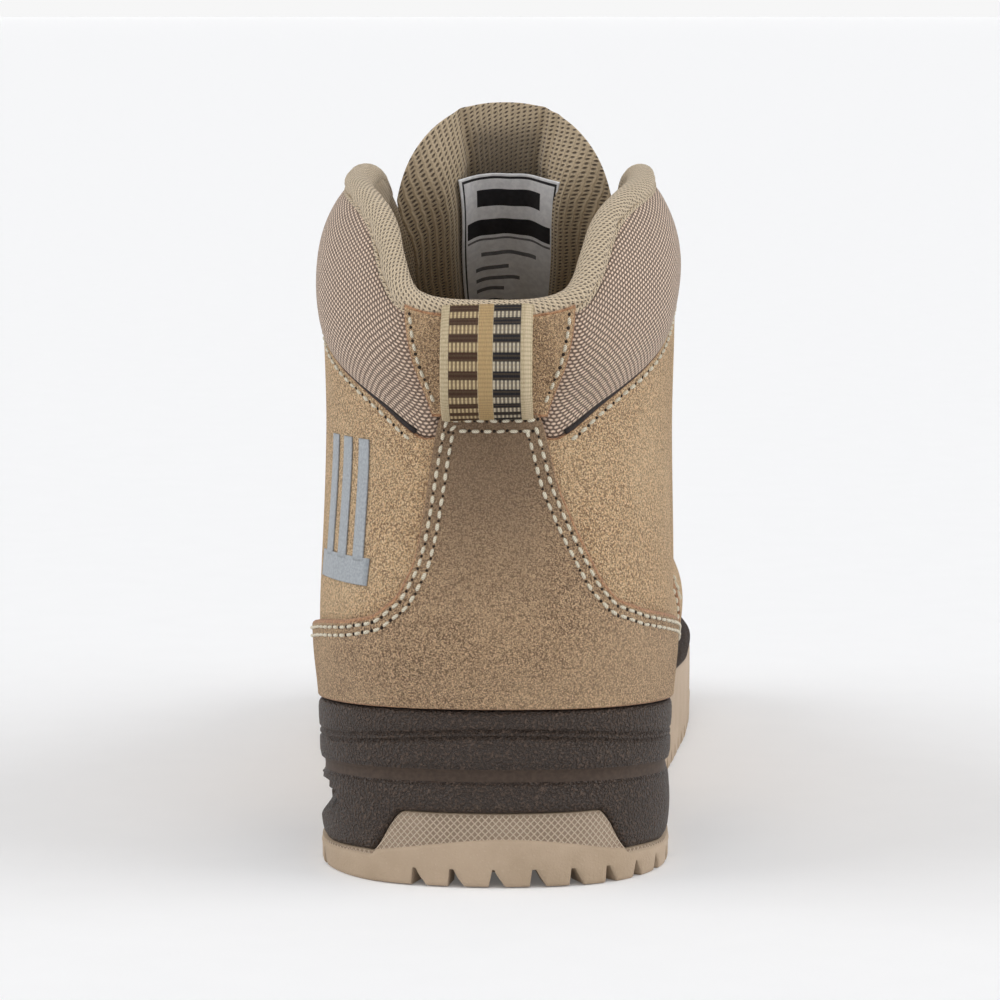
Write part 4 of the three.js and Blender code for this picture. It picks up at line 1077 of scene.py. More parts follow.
def collar_roll():
    """The knit lining rolled over the collar's edge, a little uneven where it is gathered."""
    count, sides = 260, 20
    s = np.linspace(-COLLAR_END, COLLAR_END, count)
    point, _, up, normal = raw_frame(s, np.ones(count))
    angles = np.linspace(0, 2 * np.pi, sides + 1)
    uneven = 1 + 0.05 * np.sin(5.1 * s) + 0.035 * np.sin(17.3 * s + 1)
    ends = np.sqrt(np.clip(1 - (np.abs(s) / COLLAR_END) ** 40, 0.05, 1))
    high, thick = ROLL["high"] * uneven * ends, ROLL["thick"] * uneven * ends
    ring = (point[:, None] + (high[:, None] * (np.sin(angles) - 1))[..., None] * up[:, None]
            + (thick[:, None] * np.cos(angles) - ROLL["depth"])[..., None] * normal[:, None])
    travelled = arc_lengths(point)
    uv = np.stack(np.broadcast_arrays(travelled[:, None], angles[None] * 3.4), axis=-1)
    faces = grid_faces(count, sides + 1).tolist()
    last = (count - 1) * (sides + 1)
    faces += [list(range(sides))[::-1], [last + k for k in range(sides)]]
    return make("collar_roll_knit", bent(ring).reshape(-1, 3), faces, [M["roll"]], uv.reshape(-1, 2))


roll = collar_roll()
show(roll, "collar_roll")

# The piping in the seam under the roll.
soup = Soup()
s = np.linspace(-COLLAR_END, COLLAR_END, 300)
point, _, up, normal = raw_frame(s, np.ones(300))
tube(soup, bent(point - 5.2 * up + 0.15 * normal), 0.62, 8)
show(soup.make("collar_piping", [M["roll"]]), None)

# ---------------------------------------------------------------- lining and inside


def lining():
    """The whole inner face, swelling inwards under the collar's roll."""
    count, rows = 240, 60
    s = np.linspace(-10, 10, count, endpoint=False)[:, None]
    v = np.linspace(0, 1, rows)[None]
    share = smooth(COLLAR_END - 0.1, COLLAR_END + 0.5, from_back(s))
    top = lerp(t_below(s, 3.2), 0.97, share)
    t = lerp(0.02, top, v)
    fall = (1 - t) / (1 - t_below(s, 18.0))
    collar = np.clip(1 - fall, 0, 1) ** 2 * (1 - share)
    depth = -LINING_DEPTH + 3.4 * collar
    s, t = np.broadcast_arrays(s, t)
    grid = upper(s, t, depth)
    back = upper(s, t, depth + 1.4)
    uv = lengths_uv(raw_upper(s, t, depth))
    return slab("lining_cloth", back, grid, uv, [M["lining"]], wrap=True, rim_rows=0)


show(lining(), "lining")


def footbed():
    """A cushioned insole with a turned-up heel cup and a crowned arch."""
    count = 200
    s = np.linspace(0, 20, count, endpoint=False)
    edge = 12.6 + 1.2 * smooth(3, 6, from_back(s))
    low = sole_top(s) - (FEATHER_DROP - 4.4 - GAP)
    cup = 3.5 * (1 - smooth(3, 5, from_back(s)))
    # Each ring: how far in from the edge, how high, and its share of the heel cup's height.
    rings = ((2.6, 0.1, 0), (0.7, 0.2, 0), (0.1, 1.5, 0), (0, 3.2, 0.6), (0.1, 4.7, 1), (0.6, 5, 1),
             (1.4, 4.9, 0.9), (3.5, 4.6, 0.45), (7, 4.5, 0.1))
    points = []
    for inwards, high, share in rings:
        points.append(np.column_stack([sole_point(s, edge + inwards), low + high + cup * share]))
    inner = points[-1]
    for share in (0.35, 0.65, 0.88):
        flat = inner * [1 - share, 1, 1]
        points.append(np.column_stack([flat[:, 0], flat[:, 1], inner[:, 2] + 0.5 * share]))
    to_middle = np.array([0.0, 1, 1])
    bottom = points[0] * to_middle + [0, 0, 0.05]
    grid = np.array([bottom, *points, points[-1] * to_middle]).transpose(1, 0, 2)
    faces = grid_faces(*grid.shape[:2], wrap=True).tolist()
    return make("footbed_foam", bent(grid).reshape(-1, 3), faces, [M["lining"]], grid[..., :2].reshape(-1, 2))


bed = footbed()
show(bed, "footbed", "footbed")

# ---------------------------------------------------------------- tongue
TONGUE_POINTS = [[55, 85], [34, 98], [10, 114], [-14, 132], [-31, 151], [-41, 169], [-46, 187]]
TONGUE_LINE = resample(spline(np.array([[0, y, z] for y, z in TONGUE_POINTS]), 24), 400)
TONGUE_WAY = unit(np.gradient(TONGUE_LINE, axis=0))
tongue_half = through(9, 13, 16, 18, 20, 22.6, 24.6, 25.4, 28.6)
tongue_wrap = through(2, 2.5, 3, 4, 6, 9, 11, 12, 12)


def rounding(w, v):
    """How much nearer the tongue's base a place lies because its top is rounded."""
    return lerp(1, np.sqrt(1 - 0.92 * np.abs(w) ** 2.6) * 0.2 + 0.8, smooth(0.5, 1, v))


def raw_tongue(w, v, depth):
    """A point of the tongue: w from -1 to 1 across, v up it, depth behind its front face."""
    w, v, depth = np.broadcast_arrays(*[np.asarray(x, float) for x in (w, v, depth)])
    place = v * rounding(w, v) * (len(TONGUE_LINE) - 1)
    at, way = [np.stack([np.interp(place, np.arange(len(rows)), rows[:, k]) for k in range(3)], axis=-1)
               for rows in (TONGUE_LINE, TONGUE_WAY)]
    front = np.stack([0 * w, way[..., 2], -way[..., 1]], axis=-1)
    half, wrap = tongue_half(v), tongue_wrap(v)
    normal = unit(front + np.stack([2 * wrap * w / half, 0 * w, 0 * w], axis=-1))
    at = at + np.stack([half * w, 0 * w, 0 * w], axis=-1)
    return at - (wrap * w * w)[..., None] * front - depth[..., None] * normal


def level(w, place):
    """The v whose height up the tongue's line is place, as if its top weren't rounded."""
    v = np.asarray(place, float) + 0 * w
    for _ in range(8):
        v = place / rounding(w, v)
    return v


def pad_depth(w):
    away = np.abs(w)
    return 4.2 + 3 * smooth(0.3, 0.62, away) * (1 - smooth(0.72, 1, away))


def tongue():
    """A padded tongue: a thin middle, a fat roll down each side and creases beside the rolls."""
    nu, nv = 97, 121
    w = np.linspace(1, -1, nu)[:, None]
    w = np.sign(w) * (1 - (1 - np.abs(w)) ** 1.35)
    v = np.linspace(0, 1, nv)[None]
    v = 1 - (1 - v) ** 1.3
    w, v = np.broadcast_arrays(w, v)
    back = pad_depth(w) * (0.45 + 0.55 * (1 - smooth(0.9, 1, v)))
    for at, deep, wide in ((-0.4, 2.2, 0.05), (0.37, 1.8, 0.045), (0.5, 1.2, 0.03)):
        back = back - deep * np.exp(-((w - at) / wide) ** 2) * smooth(0.5, 0.62, v)
    away = np.abs(w)
    fatter = 1.6 * np.exp(-((away - 0.76) / 0.13) ** 2)
    back = back + fatter * smooth(0.45, 0.6, v) * (1 - smooth(0.93, 1, v))
    back = back - 0.9 * smooth(0.3, 0.5, away) * (1 - smooth(0.6, 0.66, away)) * (v < 0.9)
    back = back + 0.3 * np.sin(9 * v + 4 * w) * smooth(0.86, 0.92, v) * (1 - smooth(0.95, 1, v))
    rim = np.sqrt(np.clip(1 - np.abs(w) ** 9, 0, 1)) * np.sqrt(np.clip(1 - v ** 26, 0, 1))
    middle, half = back / 2, back / 2 * np.maximum(rim, 0.04)
    front_face = raw_tongue(w, v, middle - half)
    back_face = raw_tongue(w, v, middle + half)
    return slab("tongue_padding", bent(front_face), bent(back_face), lengths_uv(front_face), [M["flap"]],
                rim_rows=0)


flap = subdivided(tongue())
show(flap, "tongue", "tongue")


def label():
    """A satin label with a printed border, bands, rules and plain bars in place of any print."""
    nu, nv = 122, 150
    w = np.linspace(0.7, -0.6, nu)[:, None]
    w, v = np.broadcast_arrays(w, np.linspace(0.58, 0.885, nv)[None])
    v = level(w, v)
    wave = 0.25 * np.sin(9 * w + 1) * np.sin(24 * v) + 0.12 * np.sin(17 * w + 22 * v)
    depth = lerp(pad_depth(w), 6.3, 0.55) + 0.75 + wave
    outer = raw_tongue(w, v, depth)
    inner = raw_tongue(w, v, depth + 0.4)

    def pick(i, j):
        x, y = i / (nu - 1), j / (nv - 1)
        aside = np.abs(x - 0.5)
        ring = (aside > 0.465) | (np.abs(y - 0.5) > 0.47)
        frame_line = ring & (aside < 0.48) & (np.abs(y - 0.5) < 0.485)
        band = (((y > 0.63) & (y < 0.73)) | ((y > 0.06) & (y < 0.15))) & (aside < 0.45)
        rule = (np.abs(y - 0.6) < 0.005) & (aside < 0.45)
        bars = np.zeros(x.shape, bool)
        for row, left, right in ((0.5, 0.2, 0.8), (0.4, 0.14, 0.5), (0.32, 0.14, 0.62), (0.24, 0.14, 0.45)):
            bars |= (np.abs(y - row) < 0.012) & (x > left) & (x < right)
        block = (np.abs(y - 0.86) < 0.05) & (aside < 0.33)
        made = np.zeros(x.shape, int)
        made[bars | rule] = 2
        made[frame_line | band | block] = 1
        return made

    mats = [M["label"], M["ink"], M["faint"], M["label"]]
    return slab("tongue_label_satin", bent(inner)[::-1], bent(outer)[::-1], lengths_uv(inner), mats,
                rim_rows=0, pick=pick)


show(label(), "tongue_label", "tongue")


def tongue_slab(name, w_ends, v_ends, outer, inner, materials):
    """A flat piece on the tongue, whose faces' depths at w are outer(w) and inner(w)."""
    nu, nv = 60, 40
    w = np.broadcast_to(np.linspace(w_ends[1], w_ends[0], nu)[:, None], (nu, nv))
    v = np.broadcast_to(np.linspace(*v_ends, nv)[None], (nu, nv))
    from_sides, from_ends = [np.minimum(np.arange(n), np.arange(n)[::-1]) for n in (nu, nv)]
    dip = 0.5 * np.clip(1 - np.minimum(from_sides[:, None], from_ends[None]) / 2, 0, 1)
    top = raw_tongue(w, v, outer(w) + dip)
    return slab(name, bent(top), bent(raw_tongue(w, v, inner(w))), lengths_uv(top), materials, rim_rows=1)


patch = tongue_slab("tongue_patch_suede", (-0.5, 0.5), (0.83, 0.96), lambda w: 0 * w - OVERLAY,
                    lambda w: 0 * w - 0.4, [M["tan"], M["edge"]])
show(patch, "tongue_patch", "tongue")
arch = lambda w: -GAP - 5.2 * (1 - (w / 0.45) ** 4)
keeper = tongue_slab("tongue_keeper_web", (-0.45, 0.45), (0.755, 0.8), lambda w: arch(w) - 1.2, arch,
                     [M["webbing"], M["webbing"]])
show(keeper, "tongue_keeper", "tongue")

# Stitching round the tongue's patch.
soup = Soup()
ring_wv = np.array([[-0.45, 0.842], [0.45, 0.842], [0.45, 0.95], [-0.45, 0.95], [-0.45, 0.842]])
ring_wv = resample(ring_wv, 200)
points = bent(raw_tongue(*ring_wv.T, -OVERLAY))
outward = unit(bent(raw_tongue(*ring_wv.T, -OVERLAY - 1)) - points)
stitch_row(soup, points, outward)
show(soup.make("tongue_patch_stitching", [M["thread"], M["hole"]]), None, "tongue")

# ---------------------------------------------------------------- vamp, toe and eyestays


def vamp_top(s):
    return np.minimum(0.968, quarter_foot(from_back(s)) + 0.09)


place = between(6.25, 13.75, lambda s: 0.0 * s, vamp_top)
show(panel("vamp_mesh_cloth", place, -OVERLAY - 0.7, -OVERLAY - 1.9, [M["pad"], M["pad"]]), "vamp_mesh")
place = between(6.9, 13.1, lambda s: 0.0 * s, toe_edge)
show(panel("toe_overlay_suede", place, 0, -LEATHER, [M["tan"], M["edge"]]), "toe_overlay")

s = np.linspace(7.05, 12.95, 300)
toe_line = np.stack([s, toe_edge(s)], axis=1)
rows = [(inset(toe_line, d), 0.0) for d in (1.8, 4.0)]
rows_of_stitches("toe_stitching", rows)

for side, way in SIDES:
    ends = (4.42, 8.05) if way > 0 else (-8.05, -4.42)
    place = between(*ends, lambda s: eyestay_foot(from_back(s)), lambda s: 0.972 + 0.0 * s)
    piece = panel(f"eyestay_{side}_suede", place, OVERLAY, 0.4, [M["stay"], M["edge"]])
    show(piece, f"eyestay_{side}")
    away = np.linspace(4.5, 7.98, 200)
    foot_line = np.stack([way * away, eyestay_foot(away)], axis=1)
    front_away = np.linspace(5.2, 8.0, 200)
    front_line = np.stack([way * front_away, quarter_foot(front_away)], axis=1)
    rows = [(inset(foot_line, 1.8, -way), OVERLAY), (inset(front_line, 1.9, -way), 0.0)]
    rows_of_stitches(f"eyestay_stitching_{side}", rows)


def toe_bumper():
    def top(s):
        return 0.05 + 0.2 * np.sqrt(np.clip(1 - ((s - 10) / 1.72) ** 2, 0, 1))
    place = between(8.3, 11.7, lambda s: 0.0 * s, top)
    return panel("toe_bumper_rubber", place, 2.4, 0.4, [M["rubber"], M["rubber"]], step=1.4, dip=1.5)


show(toe_bumper(), "toe_bumper")

# ---------------------------------------------------------------- a plain reflective mark


def side_mark():
    """A foot line with three slanted bars, printed on the outer side."""
    soup = Soup()
    patches = [(-2.1, -1.15, 0.31, 0.345, 0.0)]
    patches += [(s, s + 0.16, 0.34, 0.5, 0.1) for s in (-1.98, -1.69, -1.4)]
    for s0, s1, low, high, lean in patches:
        nu, nv = 12, 24
        u, v = np.meshgrid(np.linspace(0, 1, nu), np.linspace(0, 1, nv), indexing="ij")
        s, t = lerp(s0, s1, u) - lean * v, lerp(low, high, v)
        faces = [face for part in sheet_faces(nu, nv) for face in part]
        soup.add(np.stack([upper(s, t, np.full(s.shape, depth)) for depth in (0.42, 0.05)]), faces)
    return soup.make("side_mark_print", [M["mark"]])


show(side_mark(), "side_mark")

# ---------------------------------------------------------------- pull loop
LOOP_LINE = [[-142.6, 140.6], [-144.8, 138.9], [-148, 136.6], [-151.2, 131.6], [-152.4, 125.6],
             [-151.6, 120.2], [-149.9, 118.2], [-147.6, 116.4], [-145.2, 114.9], [-142.2, 113.4]]


def pull_loop():
    """A webbing strap with woven ribs, standing off the backstay."""
    line = resample(spline(np.array([[-0.4, y, z] for y, z in LOOP_LINE]), 10), 170)
    soup = Soup()
    tilt = np.array([1.0, 0.0, 0.035])
    width, thick = 22, 1.1

    def ribs(distance):
        return 0.22 * np.abs(np.sin(np.pi * distance / RIB_PITCH)) ** 0.7

    strap(soup, bent(line)[::-1], tilt, width, thick, 24, ribs)
    return soup.make("pull_loop_web", [M["pull"]])


show(pull_loop(), "pull_loop")

# ---------------------------------------------------------------- lacing
HOLD_HEIGHT = 3.9  # how far a hold's middle stands over its seat
HOLD_STITCH = 1.6
LOOP_PLACES = (7.75, 7.15, 6.55, 5.95)
HOOK_PLACES = (5.35, 4.8)
LACE_RADIUS = 1.8


def hold_frame(way, place):
    """Where a loop or hook holds the lace, before the last's bend, with the directions there."""
    s = np.array(way * place)
    point, along, _, _ = raw_frame(s, np.array(0.935))
    up = raw_point(s, np.array(0.96)) - raw_point(s, np.array(0.84))
    up = unit(up - along * up.dot(along))
    normal = unit(np.cross(along, up))
    seat = point + normal * (OVERLAY + 2.5 * GAP)
    return {"seat": seat, "centre": seat + normal * HOLD_HEIGHT, "normal": normal, "up": up,
            "to_ankle": -way * along}


def in_hold(hold, flat):
    """Points given as (up, out) in a hold's own plane."""
    flat = np.array(flat, float)
    return bent(hold["seat"] + flat[:, :1] * hold["up"] + flat[:, 1:] * hold["normal"])


def arc(radius, start, end, count):
    angles = np.radians(np.linspace(start, end, count))
    return np.stack([radius * np.cos(angles), HOLD_HEIGHT + radius * np.sin(angles)], axis=1).tolist()


for side, way in SIDES:
    for k, place in enumerate(LOOP_PLACES):
        hold = hold_frame(way, place)
        soup = Soup()
        route = [[-9.4, 0.05], [-5, 0.1], *arc(3.42, -92, 215, 26), [-5.2, 1.5], [-9.3, 1.05]]
        side_way = np.cross(hold["up"], hold["normal"])
        strap(soup, in_hold(hold, resample(np.array(route), 70)), side_way, 6.2, 0.85, 8)
        webbing_faces = len(soup.picks)
        across = np.linspace(-2.4, 2.4, 30)[:, None] * side_way
        for up_by in (-7.9, -6.7):
            base = hold["seat"] + up_by * hold["up"] + 1.62 * hold["normal"]
            points = bent(base + across)
            stitch_row(soup, points, np.broadcast_to(hold["normal"], points.shape), HOLD_STITCH)
        soup.picks[webbing_faces:] = [pick + 1 for pick in soup.picks[webbing_faces:]]
        name = f"lace_loop_{side}_{k + 1}"
        show(soup.make(f"{name}_web", [M["webbing"], M["thread"], M["hole"]]), name)
    for k, place in enumerate(HOOK_PLACES):
        hold = hold_frame(way, place)
        soup = Soup()
        route = [[-6, 0.5], [-3.5, 0.5], *arc(3.4, -90, 128, 26)]
        side_way = np.cross(hold["up"], hold["normal"])
        strap(soup, in_hold(hold, resample(np.array(route), 60)), side_way, 5.4, 1.0, 8)
        centre = hold["seat"] - 3.6 * hold["up"]
        profile = [(0.02, 1.75), (0.9, 1.65), (1.4, 1.35), (1.62, 1.05), (1.62, 0.8), (0.02, 0.8)]
        angles = np.linspace(0, 2 * np.pi, 24, endpoint=False)
        ring = [centre + r * (np.cos(angles)[:, None] * hold["up"] + np.sin(angles)[:, None] * side_way)
                + h * hold["normal"] for r, h in profile]
        ring = np.array(ring).transpose(1, 0, 2)
        soup.add(bent(ring).reshape(-1, 3), grid_faces(24, len(profile), wrap=True).tolist())
        name = f"lace_hook_{side}_{k + 1}"
        show(soup.make(f"{name}_steel", [M["hook"]]), name)


def lace_half(way, lift):
    """Half of the lace: through every hold, crossing over between them."""
    points, before = [], None
    for k, place in enumerate((*LOOP_PLACES, *HOOK_PLACES)):
        side = -way if k % 2 else way
        hold = hold_frame(side, place)
        over_in, over_out = [raw_upper(side * (place + d), 0.99, 5.8) for d in (0.26, -0.26)]
        if before is not None:
            points += [0.5 * (before + over_in) + np.array([0, 0.6, 0.8]) * (1 + lift), over_in]
        points += [hold["centre"] + d * hold["to_ankle"] for d in (-4.6, 0, 4.6)] + [over_out]
        before = over_out
    return points


TUCK = (0.7, 0.67, 0.645, 0.62, 0.598)


def end_over(side, v, lift=LACE_RADIUS + 0.9):
    return raw_tongue(side * 0.2, v, -lift)


def tucked(side):
    """The lace's end: off the last hook, over the tongue's edge and down under the crossings."""
    return [raw_tongue(side * 0.6, 0.69, -7.0), end_over(side, TUCK[0], 4.8),
            *[end_over(side, v) for v in TUCK[1:]]]


lowest = hold_frame(1, LOOP_PLACES[0])["centre"]
bar = np.array([0, lowest[1] + 7, lowest[2] + 1])
outer_half = [*lace_half(-1, 2.1), *tucked(1)]
inner_half = [*lace_half(1, -2.1), *tucked(-1)]
lace_line = spline([*outer_half[::-1], bar, *inner_half], 7)
soup = Soup()
tube(soup, bent(resample(lace_line, 760)), LACE_RADIUS, 12)
show(soup.make("lace_cord", [M["lace"]]), "lace")
for side, way in SIDES:
    soup = Soup()
    points = bent(np.array([end_over(way, TUCK[-1] - d) for d in (0.006, 0.02, 0.04, 0.065)]))
    points = resample(points, 12)
    tube(soup, points, np.array([1.62, 1.75, *[1.6] * 8, 1.45, 1.1]), 12)
    show(soup.make(f"aglet_{side}_tip", [M["tip"]]), f"aglet_{side}")

# ---------------------------------------------------------------- outsole
# Columns round the sole: even ones, and close pairs at the upright face of every notch.


def notch_places():
    s = np.arange(0.4, 18.05, 0.02)
    xy = sole_point(s, 0.0)
    travelled = arc_lengths(xy)
    wanted = np.arange(LUG_PITCH, travelled[-1], LUG_PITCH)
    return [*np.interp(wanted, travelled, s), 0.4, 0.05, -0.3, -0.62]


NOTCHES = np.array(notch_places())


def sole_columns():
    """Places from 0 to 10 mirrored past the toe, so that the sole's faces join straight across."""
    mirrored = np.mod(np.concatenate([NOTCHES, -NOTCHES]), 20)
    close = [mirrored + d for d in (-0.09, -0.052, -0.048, 0.0, 0.05, 0.1)]
    s = np.concatenate([np.linspace(0, 10, 301), *close])
    s = np.mod(s, 20)
    s = np.where(s > 10, 20 - s, s)
    s = np.unique(np.round(s, 4))
    keep = np.concatenate([[True], np.diff(s) > 0.0025])
    s = s[keep]
    s[0], s[-1] = 0, 10
    return np.concatenate([s, 20 - s[-2:0:-1]])


COLUMNS = sole_columns()


def notch_rise(s):
    """How far the tread's edge is cut up at s: upright on one side, sloping on the other."""
    rise = np.zeros(len(s))
    for at in NOTCHES:
        here = around(EDGE, np.array([at]))[0]
        rate = np.linalg.norm(around(EDGE, np.array([at + 0.01]))[0] - here) / 0.01
        away = (np.mod(s - at + 10, 20) - 10) * rate
        slope = np.clip(1 - (away + 0.2) / 2.9, 0, 1)
        rise = np.maximum(rise, np.where((away > -1.2) & (away < 2.8), np.where(away < 0.2, 1, slope), 0))
    return TREAD * rise


def sole_mesh(name, loops, materials, picks, uv_z):
    """A solid of loops round the sole, closed by ladders across its first and last loops."""
    count = len(COLUMNS)
    points = np.array(loops).transpose(1, 0, 2)
    rows = points.shape[1]
    faces = grid_faces(count, rows, wrap=True).tolist()
    mats = [picks(i, j) for i in range(count) for j in range(rows - 1)]
    half = count // 2
    for k in range(half):
        a, b = k, k + 1
        c, d = (count - k - 1) % count, (count - k) % count
        for row, turn in ((0, True), (rows - 1, False)):
            quad = [n * rows + row for n in dict.fromkeys((a, b, c, d))]
            faces.append(quad[::-1] if turn else quad)
            mats.append(0)
    xy = sole_point(COLUMNS, 0.0)
    travelled = arc_lengths(xy)
    whole = travelled[-1] + np.linalg.norm(xy[0] - xy[-1])
    travelled = np.where(COLUMNS > 10, travelled - whole, travelled)
    uvs = np.stack(np.broadcast_arrays(travelled[:, None], uv_z), axis=-1)
    return make(name, bent(points).reshape(-1, 3), faces, materials, uvs.reshape(-1, 2), mats)


def loop_at(inset_by, z):
    """A loop round the sole at height z, drawn in a little at the heel and more so low down."""
    z = np.broadcast_to(z, len(COLUMNS))
    heel = 1 - smooth(2.6, 4.4, from_back(COLUMNS))
    taper = heel * (0.9 + 0.7 * (1 - smooth(24, 34, z)))
    return np.column_stack([sole_point(COLUMNS, inset_by + taper), z])


def chevron(soup, y, half_width, rise, steps_across=14):
    """A V-shaped lug across the tread with chamfered edges."""
    x = np.linspace(-half_width, half_width, 2 * steps_across + 1)
    middle = y + rise * (1 - np.abs(x) / half_width)
    section = [(0.6, 0.0), (0.0, 0.7), (0.0, TREAD + 0.6), (8.0, TREAD + 0.6), (8.0, 0.7), (7.4, 0.0)]
    rows = []
    for across, line in zip(x, middle):
        rows.append([[across, line + dy, sole_bottom(line + dy) + dz] for dy, dz in section])
    rows = np.array(rows)
    faces = grid_faces(len(x), len(section) + 1)
    loop = np.concatenate([np.arange(len(section)), [0]])
    last = (len(x) - 1) * (len(section) + 1)
    ends = [list(range(len(section)))[::-1], [last + k for k in range(len(section))]]
    soup.add(bent(rows[:, loop]).reshape(-1, 3), [*faces.tolist(), *ends])


def outsole():
    s = COLUMNS
    y = around(EDGE, s)[:, 1]
    bottom = sole_bottom(y)
    rise = notch_rise(s)
    wall = np.maximum(wall_top(s), bottom + LOWEST_WALL)
    away = from_back(s - TAB_CENTRE)
    heel = 1 - smooth(1.6, 2.6, away)
    ledge = bottom + lerp(8.0, np.minimum(lerp(11.6, 7.4, smooth(0, 1.5, away)), wall - bottom - 1.0), heel)
    ledge = np.minimum(ledge, wall - 0.8)
    loops = [
        loop_at(LUG_BAND, bottom + TREAD),
        loop_at(LUG_BAND - 0.4, bottom + rise),
        loop_at(1.6, bottom + rise),
        loop_at(0.8, bottom + rise + 0.04),
        loop_at(0.4, bottom + np.maximum(rise, 0.3)),
        loop_at(0.15, bottom + np.maximum(rise, 1.2)),
        loop_at(0.1, bottom + np.maximum(rise + 0.1, 4.4)),
        loop_at(0.0, ledge - 0.7),
        loop_at(0.12, ledge - 0.2),
        loop_at(0.75 * heel + 0.15, ledge),
        loop_at(0.8 * heel + 0.15, ledge + 0.3),
        loop_at(0.75 * heel + 0.1, lerp(ledge + 0.3, wall - 0.35, 0.4)),
        loop_at(0.7 * heel + 0.1, lerp(ledge + 0.3, wall - 0.35, 0.8)),
        loop_at(0.8 * heel + 0.3, wall - 0.35),
        loop_at(0.9 * heel + 0.75, wall - 0.05),
        loop_at(RIM, wall),
        loop_at(RIM + 0.4, bottom + FLOOR),
    ]
    heights = np.array(loops)[:, :, 2].T
    grid_rows = range(9, 13)
    heel_column = heel > 0.5

    def picks(i, j):
        return 1 if j in grid_rows and heel_column[i] else 0

    return sole_mesh("outsole_tread", loops, [M["rubber"], M["grid"]], picks, heights)


def tread_lugs():
    soup = Soup()
    for y in (96, 76, 56, 36, 16):
        chevron(soup, y, 33 - max(0, y - 76) * 0.35, 9)
    for y in (-122, -104, -86):
        chevron(soup, y, 25, -7)
    return soup.make("outsole_lugs", [M["rubber"]], flat=True)


show(outsole(), "outsole")
show(tread_lugs(), None)

# ---------------------------------------------------------------- midsole
SCOOPS = ((-1, -100, 17.2, 31, 5.6), (1, -58, 20, 20, 6.4))  # side, y, z, half length, half height
# The side wall's line: drop under its top edge, and how far it stands in from the sole's edge.
WALL_LINE = ((0.0, 1.6), (0.12, 0.9), (0.5, 0.35), (1.1, 0.08), (2.2, 0.0), (4.2, 0.05), (5.4, 0.2),
             (5.8, 0.55), (6.1, 0.75), (6.4, 0.55), (6.7, 0.3), (7.1, 0.3), (7.4, 0.55), (7.7, 0.75),
             (8.0, 0.55), (8.4, 0.15), (10, 0.0), (12.5, -0.1), (14.4, 0.1), (14.9, 0.7), (15.3, 0.95),
             (16.2, 1.0), (17.6, 0.95), (18.0, 0.7), (18.4, 0.25), (19.4, 0.1))
# Under it, down to the outsole's wall: the share of the way down, and the same inset.
LOWER_WALL = ((0.12, 0.0), (0.25, -0.15), (0.4, -0.2), (0.55, -0.15), (0.7, 0.0), (0.82, 0.2), (0.92, 0.55))


def midsole():
    s = COLUMNS
    xy = around(EDGE, s)
    y, outer_side = xy[:, 1], np.where(s > 10, -1, 1)
    top = sole_top(s)
    away = from_back(s - TAB_CENTRE)
    bottom = sole_bottom(y)
    wall = np.maximum(wall_top(s), bottom + LOWEST_WALL)
    scale = np.minimum(1, (top - wall) / 23.5)
    arch_up = 1.2 * np.cos(np.clip(away, 0, 2) * np.pi / 2)
    loops, kinds = [], []

    def scooped(z, inset_by):
        """The wall pushed in at the two flank hollows, with ribs across their floors."""
        for side, at_y, at_z, long, high in SCOOPS:
            r2 = ((y - at_y) / long) ** 2 + ((z - at_z) / high) ** 2
            deep = 5.2 * np.sqrt(np.clip(1 - r2, 0, 1)) * (outer_side == side)
            ribs = 0.55 * np.sin(2 * np.pi * (y - at_y) / 3.2) * smooth(2.2, 4.2, deep)
            inset_by = inset_by + deep + ribs
        return inset_by

    for drop, inset_by in WALL_LINE:
        lifted = drop - arch_up * smooth(3, 6, drop) * (1 - smooth(9, 14, drop))
        z = top - lifted * scale
        loops.append(loop_at(scooped(z, inset_by * np.minimum(1, scale * 2)), z))
        kinds.append(1 if 14.6 < drop < 17.7 else 0)
    upper_edge = top - 19.4 * scale
    for share, inset_by in LOWER_WALL:
        z = lerp(upper_edge, wall + 0.15, share)
        loops.append(loop_at(scooped(z, inset_by * np.minimum(1, scale * 2)), z))
        kinds.append(0)
    loops.append(loop_at(1.3, wall + 0.1))
    loops.append(loop_at(RIM + GAP, np.minimum(wall + 0.05, top - 0.1)))
    loops.append(loop_at(RIM + GAP + 0.5, np.minimum(bottom + FLOOR + GAP, top - 0.2)))
    kinds += [0, 0, 0]
    loops = [loop_at(9.0, top - FEATHER_DROP), loop_at(8.7, top - 0.1), loop_at(4.0, top + 0.02), *loops]
    kinds = [0, 0, 0, *kinds]
    loops, kinds = loops[::-1], kinds[::-1]
    heights = np.array(loops)[:, :, 2].T
    # Faces inside the flank hollows, which take the near-black painted shade.
    hollow = np.zeros(heights.shape, bool)
    for side, at_y, at_z, long, high in SCOOPS:
        near = ((y[:, None] - at_y) / long) ** 2 + ((heights - at_z) / high) ** 2 < 0.8
        hollow |= near & (outer_side[:, None] == side)

    def picks(i, j):
        return 2 if hollow[i, j] else kinds[j]

    return sole_mesh("midsole_foam", loops, [M["midsole"], M["band"], M["hollow"]], picks, heights)


show(midsole(), "midsole")

# ---------------------------------------------------------------- CAD parts that stay, with their finish
KEPT = {"steel_toe_cap": "steel", "steel_shank": "steel", "insole_board": "board",
        "heel_stiffener": "plastic", "toe_cap_edge_strip": "foam"}
for node, finish in KEPT.items():
    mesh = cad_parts[node].data
    mesh.materials.clear()
    mesh.materials.append(M[finish])

# ---------------------------------------------------------------- studio
FLOOR_SIDE = 60000


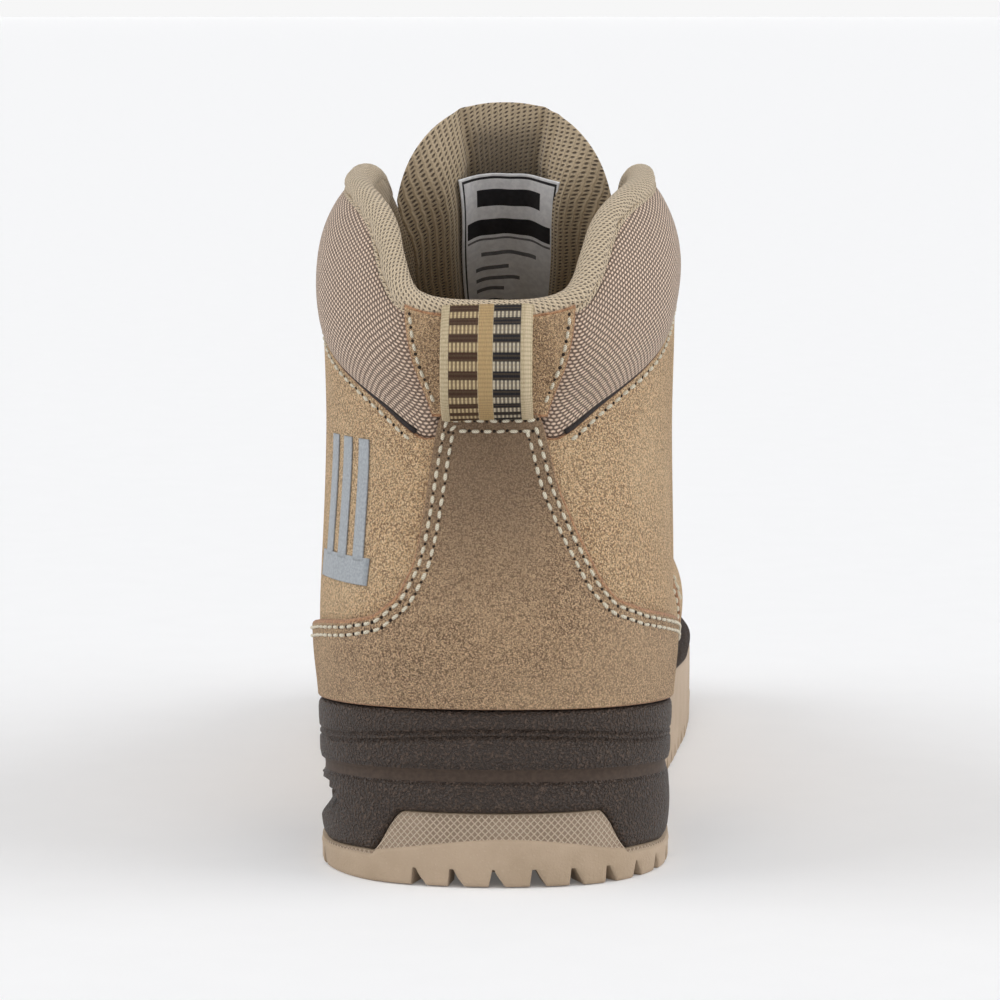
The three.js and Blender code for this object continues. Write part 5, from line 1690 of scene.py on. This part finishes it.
def studio_floor():
    """A pale floor that runs to the horizon."""
    edge = np.linspace(-FLOOR_SIDE, FLOOR_SIDE, 5)
    points = np.array([[[x, y, 0.0] for y in edge] for x in edge])
    n = Nodes("studio_white")
    grain = n.noise(60, 2.0, 0.5)
    n.feed(n.shader.inputs["Emission Color"], (1.0, 1.0, 1.0))
    n.feed(n.shader.inputs["Emission Strength"], 0.075)
    n.feed(n.shader.inputs["Specular IOR Level"], 0.1)
    white = n.done(n.mix(grain, (0.83, 0.83, 0.835), (0.85, 0.85, 0.855)), 0.95)
    return make("studio_floor", points.reshape(-1, 3), grid_faces(5, 5).tolist(), [white])


studio_floor()


def studio_horizon():
    """A low pale wall a long way off, where the floor ends."""
    count, low, high = 49, -10, 8000
    radius = 0.96 * FLOOR_SIDE
    turns = np.linspace(0, 2 * np.pi, count)
    circle = radius * np.stack([np.cos(turns), np.sin(turns)], axis=1)
    rows = [np.column_stack([circle, np.full(count, z)]) for z in (low, high)]
    n = Nodes("horizon_white")
    n.feed(n.shader.inputs["Emission Color"], (1.0, 1.0, 1.0))
    n.feed(n.shader.inputs["Emission Strength"], 0.928)
    n.feed(n.shader.inputs["Specular IOR Level"], 0.0)
    pale = n.done((0.0, 0.0, 0.0), 1.0)
    return make("studio_horizon", np.stack(rows, axis=1).reshape(-1, 3), grid_faces(count, 2).tolist(),
                [pale])


studio_horizon()


def sun(name, place, strength, softness):
    """A broad even light from the side of place, as softboxes a long way off give."""
    data = bpy.data.lights.new(name, "SUN")
    data.energy, data.angle = strength, math.radians(softness)
    light = bpy.data.objects.new(name, data)
    light.location = Vector(place)
    light.rotation_euler = (-Vector(place)).to_track_quat("-Z", "Y").to_euler()
    bpy.context.scene.collection.objects.link(light)


sun("softbox_left", (-2.0, -0.15, 1.1), 1.26, 55)
sun("softbox_right", (2.0, -0.15, 1.1), 1.37, 55)
sun("softbox_back", (0.1, -1.2, 1.9), 0.66, 50)

world = bpy.data.worlds.new("studio")
world.use_nodes = True
background = next(n for n in world.node_tree.nodes if n.type == "BACKGROUND")
background.inputs["Color"].default_value = (0.97, 0.98, 1.0, 1.0)
background.inputs["Strength"].default_value = 0.45
bpy.context.scene.world = world
bpy.context.scene.view_settings.view_transform = "Standard"
